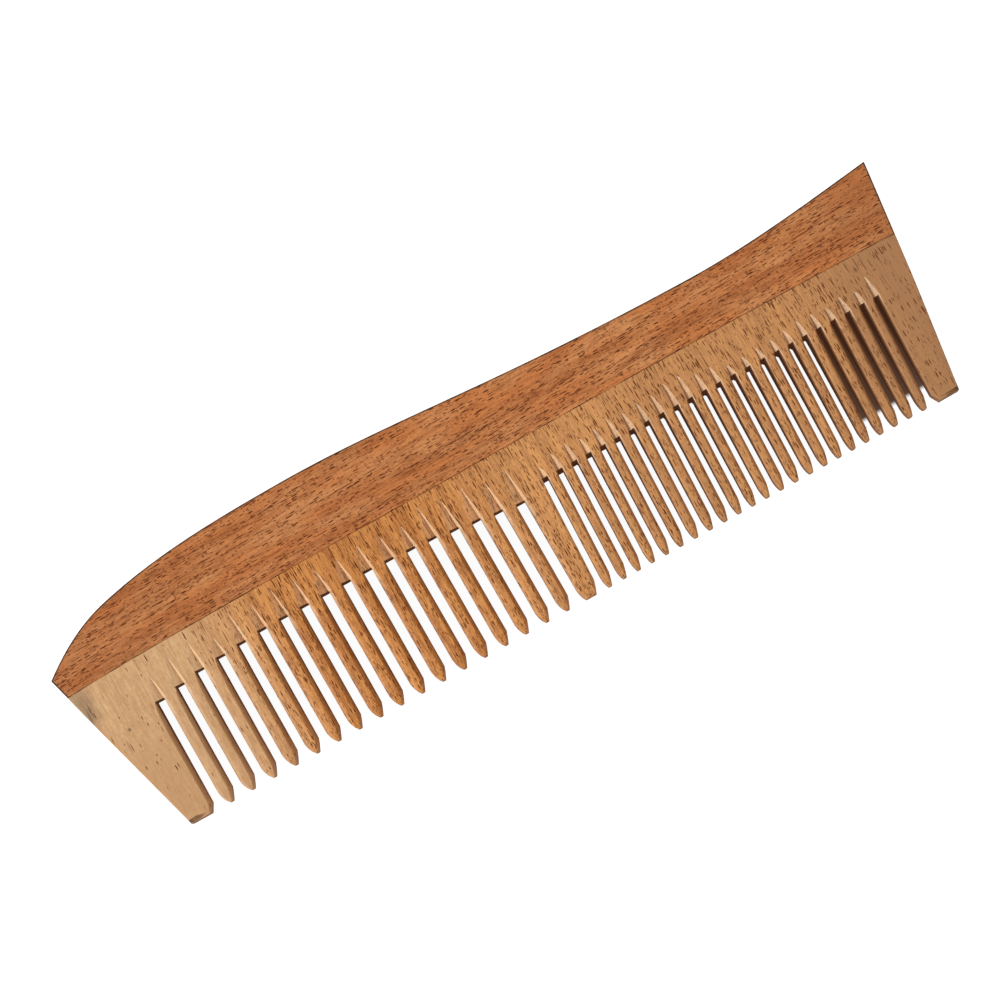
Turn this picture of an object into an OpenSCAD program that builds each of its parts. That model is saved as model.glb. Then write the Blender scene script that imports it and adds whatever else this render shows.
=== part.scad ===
// Wooden hair comb: a shaped spine glued to a tooth plate, which thins along its teeth.
// The comb lies flat on its back face. X runs along the comb, Y from the tips to the spine.
// The origin is under the middle of the comb, on the surface that it lies on.
// Depths are measured towards the tips from a straight datum, and x from the left end.
// The glue line is arched: it rises a little above the datum.

/* [Comb] */
// Length from the left point to the upper right corner
comb_l = 190; // [188:0.5:194]
// Thickness of the spine and of the plate above the teeth
comb_t = 8.5; // [7:0.1:10]
// How far the left end leans inwards for each millimetre towards the tips
left_lean = 0.285; // [0.2:0.005:0.35]
// How far the right end leans inwards for each millimetre towards the tips
right_lean = 0.133; // [0:0.001:0.2]

/* [Spine] */
// Height of the back's crest above the datum
crest_h = 17.2; // [15:0.1:20]
// Height of the back's left end above the datum
left_h = 4.8; // [3:0.1:6]
// Height of the back's right end above the datum
right_h = 16.3; // [14:0.1:18]
// Height of the middle of the arched glue line above the datum
arch_h = 1.4; // [0.5:0.1:2]

/* [Coarse teeth] */
// Number of gaps in the coarse half
coarse_gaps = 18; // [18:1:18]
// Width of a coarse gap
coarse_gap_w = 1.91; // [1.5:0.01:2.2]
// Middle of the first coarse gap, from the left end
coarse_start = 17; // [16:0.05:18]
// Spacing of the first two coarse gaps
coarse_pitch_first = 4.84; // [4.8:0.01:5]
// Spacing of the last two coarse gaps
coarse_pitch_last = 4.62; // [4.5:0.01:4.7]
// Sideways lean of the coarse gaps for each millimetre of depth
coarse_lean = 0.012; // [-0.03:0.001:0.03]
// Width of the blunt end of a coarse tooth
coarse_end_w = 0.75; // [0.5:0.05:1.2]
// Width of the left and right bevels of a coarse tooth at its shoulder
coarse_bevel_left = 0.5; // [0.3:0.05:0.7]
coarse_bevel_right = 0.8; // [0.3:0.05:0.9]

/* [Fine teeth] */
// Number of gaps in the fine half
fine_gaps = 24; // [24:1:24]
// Width of a fine gap
fine_gap_w = 1.27; // [1:0.01:1.5]
// Middle of the first fine gap, from the left end
fine_start = 103.8; // [103:0.05:105]
// Spacing of the first two fine gaps
fine_pitch_first = 3.27; // [3.2:0.01:3.35]
// Spacing of the last two fine gaps
fine_pitch_last = 3.19; // [3.15:0.01:3.3]
// Sideways lean of the fine gaps for each millimetre of depth
fine_lean = -0.033; // [-0.04:0.001:0.03]
// Width of the blunt end of a fine tooth
fine_end_w = 0.8; // [0.5:0.05:1]
// Width of the left and right bevels of a fine tooth at its shoulder
fine_bevel_left = 0.35; // [0.2:0.05:0.5]
fine_bevel_right = 0.55; // [0.2:0.05:0.6]

/* [Tooth ends] */
// Thickness of a tooth at its shoulder, just above the point
shoulder_t = 3.9; // [2.5:0.1:4.5]
// Length of the pointed end below the shoulder
point_l = 2.6; // [2:0.1:3.5]
// Width of the blunt end of the divider between the two sets of teeth
divider_end_w = 2.5; // [2:0.1:3]
// Size of the cut on the inner corner of each outer tooth
guard_cut = 1.1; // [0.5:0.1:1.5]

/* [Saw cuts] */
// Uneven spacing of the coarse gaps, left by feeding the plate past the saw by hand
coarse_wander = 0.05; // [0:0.01:0.1]
// Uneven spacing of the fine gaps
fine_wander = 0.1; // [0:0.01:0.15]

/* [Hidden] */
// Back of the spine: x, height above the datum, slope
BACK = [
    [0, left_h, 0.8],
    [16, crest_h - 3.9, 0.25],
    [58, crest_h, 0.01],
    [105, crest_h - 2.6, -0.07],
    [148, crest_h - 4.3, -0.01],
    [comb_l, right_h, 0.12]
];
back_steps = 10;

// Glue line: x, height above the datum, slope
GLUE = [
    [left_end(0), arch_h - 1.1, 0.05],
    [26, arch_h - 0.4, 0.01],
    [112, arch_h, 0],
    [right_end(0), arch_h - 0.7, -0.02]
];
glue_steps = 6;

// Lines across the plate: x, depth of the groove's apex, of the gap's root, of the tooth's tip
LINES = [
    [17, 3.0, 8.8, 32.9],
    [26.7, 1.7, 7.35, 32.8],
    [41, 0.7, 6.35, 32.8],
    [65, 0.9, 6.35, 32.6],
    [79, 1.1, 7.1, 32.5],
    [97.5, 2.4, 9.6, 32.4],
    [103.8, 4.8, 7.6, 32.4],
    [120, 3.9, 7.7, 32.3],
    [153, 5.0, 8.2, 32.3],
    [178.4, 5.2, 8.4, 32.3]
];
APEX = 1;
ROOT = 2;
TIP = 3;
// How far the apex of each groove strays from its line, from left to right
APEX_STRAY = [
    0.8, -0.4, -0.4, 1.9, -0.7, 0.3, -0.3, -0.1, 0.7, 0.7, 0.4, 0.8, 1.1, -0.6,
    0.1, -0.5, 0.7, -0.2, 0.6, -0.5, -0.8, 0.1, -0.2, -0.6, -0.1, -0.5, -0.5, -1.4,
    -1.7, -0.6, -0.2, 1.1, 1, 0.9, 0.7, 0.2, -0.2, 0.1, 0.4, -0.2, 0.2, -1.3
];

// Pointed end, in shares: distance past the shoulder, inset on the left and right, thickness
POINT = [
    [0, 0, 0, 1],
    [0.4, 0.2, 0.35, 0.9],
    [0.75, 0.55, 0.72, 0.8],
    [1, 1, 1, 0.65]
];

// Depth at which the spacing of the gaps is measured
spacing_depth = 12;
// Plate left above the teeth, past the deepest root beside them
root_margin = 0.15;
// Groove above a coarse and a fine gap: depth at the root, then distances from the gap's middle:
// its keel at the apex, its keel at the root, its left rim and its right rim at the root
GROOVE = [
    [1.9, 0.5, 0.85, -1.05, 1.45],
    [0.9, -0.35, -0.4, -0.75, 0.85]
];
DEEP = 0;
KEEL_TOP = 1;
KEEL_ROOT = 2;
RIM_LEFT = 3;
RIM_RIGHT = 4;
// Least bevel beside a groove, and bevel along the outside of the outer teeth
least_bank = 0.05;
guard_bevel = 0.3;
// Cutter overshoot
over = 1;
// Turn from one gap to the next that sets how the wander changes along the comb
wander_turn = 309;

glue_y = (LINES[0][TIP] - crest_h) / 2;
gaps = coarse_gaps + fine_gaps;

function two_digits(n) = str(n < 10 ? "0" : "", n);
function set_names(kind, count) = [for (n = [1:count]) str(kind, "_tooth_", two_digits(n))];
coarse_names = set_names("coarse", coarse_gaps - 1);
fine_names = set_names("fine", fine_gaps - 1);

// A point of the comb from its x and its depth below the datum
function place(x, depth) = [x - comb_l / 2, glue_y - depth];

// The two ends of the comb at a depth
function left_end(depth) = left_lean * (left_h + depth);
function right_end(depth) = comb_l - right_lean * (right_h + depth);

// Smooth curve through two rows of x, height and slope, at share t of the way
function between(a, b, t) = let (run = b[0] - a[0])
    [
        a[0] + run * t,
        (2 * t ^ 3 - 3 * t ^ 2 + 1) * a[1] + (t ^ 3 - 2 * t ^ 2 + t) * run * a[2]
            + (3 * t ^ 2 - 2 * t ^ 3) * b[1] + (t ^ 3 - t ^ 2) * run * b[2]
    ];

// Depth of one of the lines across the plate, at x
function line_at(x, column) = lookup(x, [for (row = LINES) [row[0], row[column]]]);

// Gap n counts from 0 at the left, through both sets
function is_fine(n) = n >= coarse_gaps;
function pick(n, coarse, fine) = is_fine(n) ? fine : coarse;
function nth(start, first, last, steps, k) =
    start + first * k - (first - last) / (steps - 1) * k * (k - 1) / 2;
function even_x(n) = is_fine(n)
    ? nth(fine_start, fine_pitch_first, fine_pitch_last, fine_gaps - 1, n - coarse_gaps)
    : nth(coarse_start, coarse_pitch_first, coarse_pitch_last, coarse_gaps - 1, n);
function gap_x(n) = even_x(n) + pick(n, coarse_wander, fine_wander) * sin(wander_turn * n);
function gap_w(n) = pick(n, coarse_gap_w, fine_gap_w);
function lean(n) = pick(n, coarse_lean, fine_lean);
function middle(n, depth) = gap_x(n) + lean(n) * (depth - spacing_depth);
function side(n, depth, way) = middle(n, depth) + way * gap_w(n) / 2;

// Depths of a gap's groove apex and of its root, and how fast its keel falls
function apex(n) = line_at(gap_x(n), APEX) + APEX_STRAY[n % len(APEX_STRAY)];
function root(n) = line_at(gap_x(n), ROOT);
function groove(n, column) = GROOVE[is_fine(n) ? 1 : 0][column];
function keel_fall(n) = groove(n, DEEP) / (root(n) - apex(n));
function keel_depth(n, depth) = keel_fall(n) * (depth - apex(n));
function keel_lean(n) = lean(n) + (groove(n, KEEL_ROOT) - groove(n, KEEL_TOP)) / (root(n) - apex(n));
function keel_x(n, depth) =
    middle(n, apex(n)) + groove(n, KEEL_TOP) + keel_lean(n) * (depth - apex(n));

// Signed run of a groove's left or right wall for each millimetre of depth
function wall_run(n, column) = (groove(n, column) - groove(n, KEEL_ROOT)) / groove(n, DEEP);

// Width and drop of the bevel that a groove leaves on the wood to its left or right
function bank(n, depth, way) =
    let (
        run = wall_run(n, way < 0 ? RIM_LEFT : RIM_RIGHT),
        rim = keel_x(n, depth) + run * keel_depth(n, depth),
        width = max(way * (rim - side(n, depth, way)), least_bank)
    )
    [width, width / abs(run)];

// Tooth n lies between gaps n and n + 1, and starts just below the deeper of their roots
function tooth_start(n) =
    max(root(max(n, 0)), root(min(n + 1, gaps - 1))) + root_margin;
function tooth_tip(n) = line_at((gap_x(max(n, 0)) + gap_x(min(n + 1, gaps - 1))) / 2, TIP);

// One section of a tooth: x of both sides, depth, thickness, and width and drop of both bevels
function section(x0, x1, depth, t, bevel0, bevel1) =
    let (mid = comb_t / 2, drop0 = t / 2 - bevel0[1], drop1 = t / 2 - bevel1[1])
    [
        for (corner = [
            [x0 + bevel0[0], t / 2], [x1 - bevel1[0], t / 2], [x1, drop1], [x1, -drop1],
            [x1 - bevel1[0], -t / 2], [x0 + bevel0[0], -t / 2], [x0, -drop0], [x0, drop0]
        ])
        concat(place(corner[0], depth), [mid + corner[1]])
    ];

// Bevel of equal width and drop
function even_bevel(width) = [width, width];

// Closed solid through sections that all have the same number of corners
module loft(sections) {
    sides = len(sections[0]);
    last = len(sections) - 1;
    walls = [
        for (s = [0:last - 1], k = [0:sides - 1])
        let (a = s * sides + k, b = s * sides + (k + 1) % sides)
        [a, b, b + sides, a + sides]
    ];
    polyhedron(
        points = [for (row = sections) each row],
        faces = concat(
            [[for (k = [sides - 1:-1:0]) k]], walls, [[for (k = [0:sides - 1]) last * sides + k]]
        )
    );
}

// Tooth between gaps n and n + 1, with a pointed end cut back to end_w
module tooth(n, end_w, bevel_left, bevel_right) {
    start = tooth_start(n);
    tip = tooth_tip(n);
    shoulder = tip - point_l;
    width = side(n + 1, shoulder, -1) - side(n, shoulder, 1);
    inset = (width - end_w) / 2;
    loft(concat(
        [section(
            side(n, start, 1), side(n + 1, start, -1), start, comb_t,
            bank(n, start, 1), bank(n + 1, start, -1)
        )],
        [
            for (row = POINT)
            let (depth = shoulder + point_l * row[0], slim = 1 - 0.7 * row[0])
            section(
                side(n, depth, 1) + inset * row[1], side(n + 1, depth, -1) - inset * row[2],
                depth, shoulder_t * row[3],
                even_bevel(bevel_left * slim), even_bevel(bevel_right * slim)
            )
        ]
    ));
}

// Outer tooth with a slanted outside, a flat end and one cut corner
module guard(outer_left) {
    n = outer_left ? 0 : gaps - 1;
    start = root(n) + root_margin;
    tip = line_at(gap_x(n), TIP);
    cut_depth = tip - 1.6 * guard_cut;
    bevel = outer_left ? coarse_bevel_right : fine_bevel_left;
    outer = even_bevel(guard_bevel);
    rows = [
        [start, comb_t, 0, even_bevel(least_bank), bank(n, start, outer_left ? -1 : 1)],
        [cut_depth, shoulder_t, 0, outer, even_bevel(bevel)],
        [tip, shoulder_t - 0.2, guard_cut, outer, even_bevel(bevel * 0.6)]
    ];
    loft([
        for (row = rows)
        outer_left
            ? section(left_end(row[0]), side(n, row[0], -1) - row[2], row[0], row[1], row[3], row[4])
            : section(side(n, row[0], 1) + row[2], right_end(row[0]), row[0], row[1], row[4], row[3])
    ]);
}

// Saw cut of gap n through the plate above the teeth
module saw_cut(n) {
    reach = tooth_start(n) + tooth_start(n - 1);
    at = place(middle(n, root(n)), root(n));
    translate([at[0], at[1], -over])
    rotate([0, 0, atan(lean(n))])
    translate([-gap_w(n) / 2, -reach, 0])
    cube([gap_w(n), reach, comb_t + 2 * over]);
}

// Pointed groove that leads into gap n on the face
module lead_in(n) {
    fall = atan(keel_fall(n));
    at = place(keel_x(n, apex(n)), apex(n));
    rise = 3;
    translate([at[0], at[1], comb_t])
    rotate([0, 0, atan(keel_lean(n))])
    rotate([90 + fall, 0, 0])
    translate([0, 0, -over])
    linear_extrude(2 * root(n))
    polygon([[0, 0], [wall_run(n, RIM_RIGHT) * rise, rise], [wall_run(n, RIM_LEFT) * rise, rise]]);
}

// Points along a table of x, height and slope, without its last row
function curve(table, steps) = [
    for (k = [0:len(table) - 2], step = [0:steps - 1])
    let (p = between(table[k], table[k + 1], step / steps))
    place(p[0], -p[1])
];

// The glue line from the left end to the right end
left_glue = GLUE[0][1];
right_glue = GLUE[len(GLUE) - 1][1];
glue_line = concat(
    [place(left_end(-left_glue), -left_glue)],
    [for (k = [1:(len(GLUE) - 1) * glue_steps - 1]) curve(GLUE, glue_steps)[k]],
    [place(right_end(-right_glue), -right_glue)]
);

module spine() {
    last = len(glue_line) - 1;
    outline = concat(
        curve(BACK, back_steps),
        [place(comb_l, -right_h)],
        [for (k = [last:-1:0]) glue_line[k]]
    );
    color([0.69, 0.43, 0.25])
    linear_extrude(comb_t)
    polygon(outline);
}

module plate_bar() {
    first = root(0) + root_margin;
    last = root(gaps - 1) + root_margin;
    steps = [
        for (n = [0:gaps - 2])
        each [
            place(gap_x(n), tooth_start(n)),
            place(gap_x(n + 1), tooth_start(n))
        ]
    ];
    glue_last = len(glue_line) - 1;
    outline = concat(
        [place(left_end(first), first), place(gap_x(0), first)],
        steps,
        [place(gap_x(gaps - 1), last), place(right_end(last), last)],
        [for (k = [glue_last:-1:0]) glue_line[k]]
    );
    color([0.76, 0.53, 0.33])
    difference() {
        linear_extrude(comb_t)
        polygon(outline);
        for (n = [0:gaps - 1]) {
            saw_cut(n);
            lead_in(n);
            translate([0, 0, comb_t])
            mirror([0, 0, 1])
            lead_in(n);
        }
    }
}

module left_guard() {
    color([0.78, 0.62, 0.46])
    guard(true);
}

module right_guard() {
    color([0.68, 0.46, 0.29])
    guard(false);
}

module divider() {
    color([0.77, 0.54, 0.36])
    tooth(coarse_gaps - 1, divider_end_w, coarse_bevel_left, fine_bevel_right);
}

module coarse_tooth(k) {
    color([0.77, 0.56, 0.37])
    tooth(k, coarse_end_w, coarse_bevel_left, coarse_bevel_right);
}

module fine_tooth(k) {
    color([0.74, 0.51, 0.33])
    tooth(coarse_gaps + k, fine_end_w, fine_bevel_left, fine_bevel_right);
}

spine();
plate_bar();
left_guard();
divider();
right_guard();
for (k = [0:len(coarse_names) - 1]) {
    coarse_tooth(k);
}
for (k = [0:len(fine_names) - 1]) {
    fine_tooth(k);
}
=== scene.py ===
"""Wooden comb: an oiled spine and a sawn tooth plate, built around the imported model."""

import math

import bmesh
import bpy
from bpy.props import FloatProperty, FloatVectorProperty, IntProperty, PointerProperty
from bpy.types import Operator, Panel, PropertyGroup
from mathutils import Matrix, Vector, kdtree, noise
from mathutils.geometry import delaunay_2d_cdt


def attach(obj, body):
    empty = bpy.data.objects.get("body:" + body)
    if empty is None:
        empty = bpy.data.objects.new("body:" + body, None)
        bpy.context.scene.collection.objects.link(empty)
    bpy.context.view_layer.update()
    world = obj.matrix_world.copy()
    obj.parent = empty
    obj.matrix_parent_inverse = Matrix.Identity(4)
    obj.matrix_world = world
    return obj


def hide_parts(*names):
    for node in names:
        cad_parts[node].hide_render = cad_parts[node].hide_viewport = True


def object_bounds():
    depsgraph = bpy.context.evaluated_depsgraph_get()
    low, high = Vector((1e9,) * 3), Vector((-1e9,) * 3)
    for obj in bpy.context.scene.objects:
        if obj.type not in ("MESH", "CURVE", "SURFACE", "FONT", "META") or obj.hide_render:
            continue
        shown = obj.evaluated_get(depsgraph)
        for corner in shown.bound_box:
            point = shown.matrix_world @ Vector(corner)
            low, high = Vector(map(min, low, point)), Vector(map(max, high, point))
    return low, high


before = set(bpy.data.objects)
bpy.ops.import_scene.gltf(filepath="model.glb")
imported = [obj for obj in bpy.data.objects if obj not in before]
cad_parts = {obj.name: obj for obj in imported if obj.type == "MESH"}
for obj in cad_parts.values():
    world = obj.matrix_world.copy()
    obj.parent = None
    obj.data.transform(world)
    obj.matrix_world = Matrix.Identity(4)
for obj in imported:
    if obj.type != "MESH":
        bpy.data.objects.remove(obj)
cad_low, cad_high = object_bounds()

bl_info = {
    "name": "Wooden Comb",
    "version": (1, 0, 0),
    "blender": (4, 5, 0),
    "location": "3D View > Sidebar > Comb",
    "description": "Builds the spine and the tooth plate of a wooden comb, and a pale studio",
    "category": "Add Mesh",
}

MM = 0.001
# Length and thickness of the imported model, in millimetres like every size below
CAD_LENGTH = (cad_high.x - cad_low.x) / MM
CAD_THICKNESS = cad_high.z / MM


def size(label, text, millimetres):
    """A length that the user may change."""
    return FloatProperty(
        name=label,
        description=text,
        default=millimetres * MM,
        soft_min=0.0,
        precision=5,
        subtype="DISTANCE",
        unit="LENGTH",
    )


def slope(label, text, value):
    """A sideways lean for each millimetre of depth."""
    return FloatProperty(name=label, description=text, default=value, precision=3, subtype="FACTOR")


def count(label, text, value):
    """A number of gaps."""
    return IntProperty(name=label, description=text, default=value, min=2, subtype="UNSIGNED")


def tint(label, text, red, green, blue):
    """A colour, given as it looks on a screen and kept as linear light."""
    seen = [red / 255, green / 255, blue / 255]
    linear = [((c + 0.055) / 1.055) ** 2.4 if c > 0.04045 else c / 12.92 for c in seen]
    return FloatVectorProperty(
        name=label,
        description=text,
        default=(*linear, 1.0),
        size=4,
        min=0.0,
        max=1.0,
        subtype="COLOR",
    )


def share(label, text, value):
    """A plain share or strength."""
    return FloatProperty(
        name=label, description=text, default=value, min=0.0, soft_max=1.0, subtype="FACTOR"
    )


class CombSizes(PropertyGroup):
    """Sizes of the comb, from the part's own source, and what saw and sanding add at the end."""

    comb_l: size("Length", "From the left point to the upper right corner", CAD_LENGTH)
    comb_t: size("Thickness", "Of the spine and of the plate above the teeth", CAD_THICKNESS)
    left_lean: slope("Left lean", "How far the left end leans inwards", 0.285)
    right_lean: slope("Right lean", "How far the right end leans inwards", 0.133)
    crest_h: size("Crest", "Height of the back's crest above the datum", 17.2)
    left_h: size("Left height", "Height of the back's left end above the datum", 4.8)
    right_h: size("Right height", "Height of the back's right end above the datum", 16.3)
    arch_h: size("Arch", "Height of the middle of the glue line above the datum", 1.4)
    coarse_gaps: count("Coarse gaps", "Number of gaps in the coarse half", 18)
    coarse_gap_w: size("Coarse gap", "Width of a coarse gap", 1.91)
    coarse_start: size("Coarse start", "Middle of the first coarse gap, from the left end", 17)
    coarse_pitch_first: size("First coarse pitch", "Spacing of the first two coarse gaps", 4.84)
    coarse_pitch_last: size("Last coarse pitch", "Spacing of the last two coarse gaps", 4.62)
    coarse_lean: slope("Coarse lean", "Sideways lean of the coarse gaps", 0.012)
    coarse_end_w: size("Coarse end", "Width of the blunt end of a coarse tooth", 0.75)
    coarse_bevel_left: size("Coarse left bevel", "Width at the shoulder of a coarse tooth", 0.5)
    coarse_bevel_right: size("Coarse right bevel", "Width at the shoulder of a coarse tooth", 0.8)
    fine_gaps: count("Fine gaps", "Number of gaps in the fine half", 24)
    fine_gap_w: size("Fine gap", "Width of a fine gap", 1.27)
    fine_start: size("Fine start", "Middle of the first fine gap, from the left end", 103.8)
    fine_pitch_first: size("First fine pitch", "Spacing of the first two fine gaps", 3.27)
    fine_pitch_last: size("Last fine pitch", "Spacing of the last two fine gaps", 3.19)
    fine_lean: slope("Fine lean", "Sideways lean of the fine gaps", -0.033)
    fine_end_w: size("Fine end", "Width of the blunt end of a fine tooth", 0.8)
    fine_bevel_left: size("Fine left bevel", "Width at the shoulder of a fine tooth", 0.35)
    fine_bevel_right: size("Fine right bevel", "Width at the shoulder of a fine tooth", 0.55)
    shoulder_t: size("Shoulder", "Thickness of a tooth just above its point", 3.9)
    point_l: size("Point", "Length of the pointed end below the shoulder", 2.6)
    divider_end_w: size("Divider end", "Width of the divider's blunt end", 2.5)
    guard_cut: size("Guard cut", "Cut on the inner corner of each outer tooth", 1.1)
    coarse_wander: size("Coarse wander", "Uneven spacing of the coarse gaps", 0.05)
    fine_wander: size("Fine wander", "Uneven spacing of the fine gaps", 0.1)
    eased: size("Eased edge", "Radius of the sanded outer edges", 0.4)
    joint_eased: size("Eased joint", "Radius of the edges along the glue line", 0.08)
    face_wave: size("Hand sanding", "Depth of the shallow waves that sanding leaves", 0.04)
    saw_wave: size("Saw wave", "How far a sawn side strays from a straight line", 0.03)


class CombFinish(PropertyGroup):
    """Colours and roughness of the two woods."""

    spine_light: tint("Spine light", "Light bands of the spine", 214, 147, 92)
    spine_warm: tint("Spine warm", "Redder patches of the spine", 206, 128, 72)
    spine_dark: tint("Spine dark", "Dark bands of the spine", 132, 70, 32)
    spine_pore: tint("Spine pores", "Open pores of the spine", 80, 28, 0)
    plate_pale: tint("Plate pale", "Sapwood at the plate's left end", 220, 183, 136)
    plate_pale_dark: tint("Plate pale dark", "Dark bands of the sapwood", 178, 132, 90)
    plate_light: tint("Plate light", "Light bands of the plate's heartwood", 222, 152, 84)
    plate_dark: tint("Plate dark", "Dark bands of the plate's heartwood", 140, 78, 34)
    plate_far: tint("Plate far", "Duller wood at the plate's right end", 150, 108, 74)
    plate_pore: tint("Plate pores", "Open pores of the plate", 90, 38, 0)
    # Raw wood: paler cut wood, also used as painted light on the groove walls and bevels that face
    # the key light
    raw: tint("Raw wood", "Paler wood in the grooves and on the filed bevels", 240, 209, 171)
    # Sawn sides: rougher wood, made darker as painted shade of the narrow gaps
    sawn: tint("Sawn wood", "Rough sides of the gaps", 120, 80, 50)
    # Dark line painted along the outer edges as shade of the eased edges; it also colours the real
    # dark marks at the plate's ends
    rim: tint("Handled rim", "Dark line that hands leave along the outer edges", 40, 30, 22)
    glue: tint("Glue line", "Dark line between the spine and the plate", 58, 28, 16)
    stain: tint("Grey stain", "Weathered patch at the left end", 128, 106, 84)
    roughness: share("Roughness", "Of the oiled and sanded faces", 0.5)


class CombStudio(PropertyGroup):
    """Floor, lights and camera."""

    floor_colour: tint("Floor", "Pale floor under the comb", 246, 246, 246)
    key_power: FloatProperty(
        name="Key light",
        description="Power of the large soft light at the comb's left",
        default=40.0,
        min=0.0,
        subtype="POWER",
        unit="POWER",
    )
    fill_power: FloatProperty(
        name="Fill light",
        description="Power of the soft light at the comb's right",
        default=15.0,
        min=0.0,
        subtype="POWER",
        unit="POWER",
    )
    lens: FloatProperty(
        name="Lens",
        description="Focal length of the camera, in millimetres",
        default=94.56,
        min=1.0,
        subtype="DISTANCE_CAMERA",
        unit="CAMERA",
    )
    turn: FloatProperty(
        name="Turn",
        description="How far the comb's length is turned in the picture",
        default=math.radians(29.24),
        subtype="ANGLE",
        unit="ROTATION",
    )


def back_table(c):
    """The back: x, height above the datum, slope."""
    return [
        (0, c.left_h, 0.8),
        (16, c.crest_h - 3.9, 0.25),
        (58, c.crest_h, 0.01),
        (105, c.crest_h - 2.6, -0.07),
        (148, c.crest_h - 4.3, -0.01),
        (c.comb_l, c.right_h, 0.12),
    ]


def glue_table(c):
    """The glue line: x, height above the datum, slope."""
    return [
        (c.left_end(0), c.arch_h - 1.1, 0.05),
        (26, c.arch_h - 0.4, 0.01),
        (112, c.arch_h, 0),
        (c.right_end(0), c.arch_h - 0.7, -0.02),
    ]


# Lines across the plate: x, depth of the groove's apex, of the gap's root, of the tooth's tip
LINES = [
    (17, 3.0, 8.8, 32.9),
    (26.7, 1.7, 7.35, 32.8),
    (41, 0.7, 6.35, 32.8),
    (65, 0.9, 6.35, 32.6),
    (79, 1.1, 7.1, 32.5),
    (97.5, 2.4, 9.6, 32.4),
    (103.8, 4.8, 7.6, 32.4),
    (120, 3.9, 7.7, 32.3),
    (153, 5.0, 8.2, 32.3),
    (178.4, 5.2, 8.4, 32.3),
]
APEX = 1
ROOT = 2
TIP = 3
# How far the apex of each groove strays from its line, from left to right
APEX_STRAY = (
    0.8, -0.4, -0.4, 1.9, -0.7, 0.3, -0.3, -0.1, 0.7, 0.7, 0.4, 0.8, 1.1, -0.6,
    0.1, -0.5, 0.7, -0.2, 0.6, -0.5, -0.8, 0.1, -0.2, -0.6, -0.1, -0.5, -0.5, -1.4,
    -1.7, -0.6, -0.2, 1.1, 1.0, 0.9, 0.7, 0.2, -0.2, 0.1, 0.4, -0.2, 0.2, -1.3,
)

# Pointed end, in shares: distance past the shoulder, inset on the left and right, thickness
POINT = [
    (0, 0, 0, 1),
    (0.4, 0.2, 0.35, 0.9),
    (0.75, 0.55, 0.72, 0.8),
    (1, 1, 1, 0.65),
]
INSET_LEFT = 1
INSET_RIGHT = 2
THICK = 3
# Rows of a pointed end, as shares of its length
POINT_ROWS = (0.2, 0.4, 0.58, 0.75, 0.88, 1.0)
# Share of its bevels' size that a tooth loses towards its tip
POINT_SLIMS = 0.6
# Height of the cut corner of an outer tooth, for each millimetre of its width
GUARD_CUT_LONG = 1.6
# Bow of the bevels: what it adds to the power of their curve, and the length it takes to grow
BEVEL_BOW = 0.5
BOW_LENGTH = 8

# Columns of the tables of curves and of bevels
HEIGHT = 1
WIDTH = 1
DROP = 2

# Groove above a gap: depth at the root, then distances from the gap's middle: its keel at the
# apex, its keel at the root, its left rim and its right rim at the root
COARSE_GROOVE = (1.9, 0.5, 0.85, -1.05, 1.45)
FINE_GROOVE = (0.9, -0.35, -0.4, -0.75, 0.85)
DEEP = 0
KEEL_TOP = 1
KEEL_ROOT = 2
RIM_LEFT = 3
RIM_RIGHT = 4
# Share of the coarse groove's depth that is left on the face in view
COARSE_SANDED = 0.55
# Power of the curve that a coarse and a fine groove's keel falls in, 1 for a straight fall
KEEL_ROUND = (0.68, 0.5)
# Run-out of the saw on the back of a coarse and a fine gap: its drop, its length and the width
# of its slanted sides
RUN_OUT = ((3.9, 4.5, 0.5), (0.6, 3.0, 0.3))
# Bevels on the back of a tooth: share of the way to the shoulder, width, drop
COARSE_BACK = [
    (0.0, 0.5, 3.9),
    (1.0, 0.8, 1.2),
]
FINE_BACK = [
    (0.0, 0.32, 2.0),
    (0.3, 0.35, 1.9),
    (1.0, 0.45, 0.9),
]
# Right bevels on the face, past their start: share of the way, share of their width and drop
COARSE_RIGHT = [
    (0.07, 0.62, 0.62),
    (0.3, 0.95, 0.85),
    (1.0, 1.0, 1.0),
]
FINE_RIGHT = [
    (0.06, 0.95, 1.0),
    (1.0, 1.2, 1.2),
]
# How pale the left and the right walls of the grooves are, on the coarse and the fine set: raw
# wood, with painted light on the right walls that face the key light
RAW_AND_LIT_WALLS = ((0.16, 0.75), (0.25, 0.5))
# Left bevels, which face the key light: how pale they are at the root, length in which full
# paleness fades, what is left; paler raw wood and painted light
RAW_AND_LIT_BEVELS = ((0.7, 8.0, 0.1), (0.8, 4.0, 0.1))
# How soon a bevel's colour is full, counted from its inner border
RAW_AND_LIT_RISE = 3
BEVEL_SHADE_RISE = 2.5
# Left bevels of the coarse teeth: their width beside their size, and an early row past their
# start, as share of the way and share of their drop
LEFT_SPREAD = 1.6
LEFT_EARLY = (0.1, 0.7)
# Steepness of a right bevel, its drop for each millimetre of width, on coarse and fine teeth
RIGHT_STEEP = (1.9, 1.25)
# Least width of the bevel that a groove leaves, and distance from a root to where a tooth starts
LEAST_BANK = 0.05
ROOT_MARGIN = 0.15

# Depth at which the gaps are spaced, and how far their uneven spacing turns from gap to gap
SPACING_DEPTH = 12
WANDER_TURN = math.radians(309)
# Length of a saw wave along a gap, and how far apart gaps and sides lie in its noise
SAW_WAVE_LENGTH = 7
SAW_WAVE_GAP = 3.7
SAW_WAVE_SIDE = 5.3
# Length of the sanding's waves along and across the comb, and how far apart the faces lie in
# their noise
SANDING_LENGTH = 11
SANDING_WIDTH = 7
SANDING_FACE = 9.0

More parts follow.
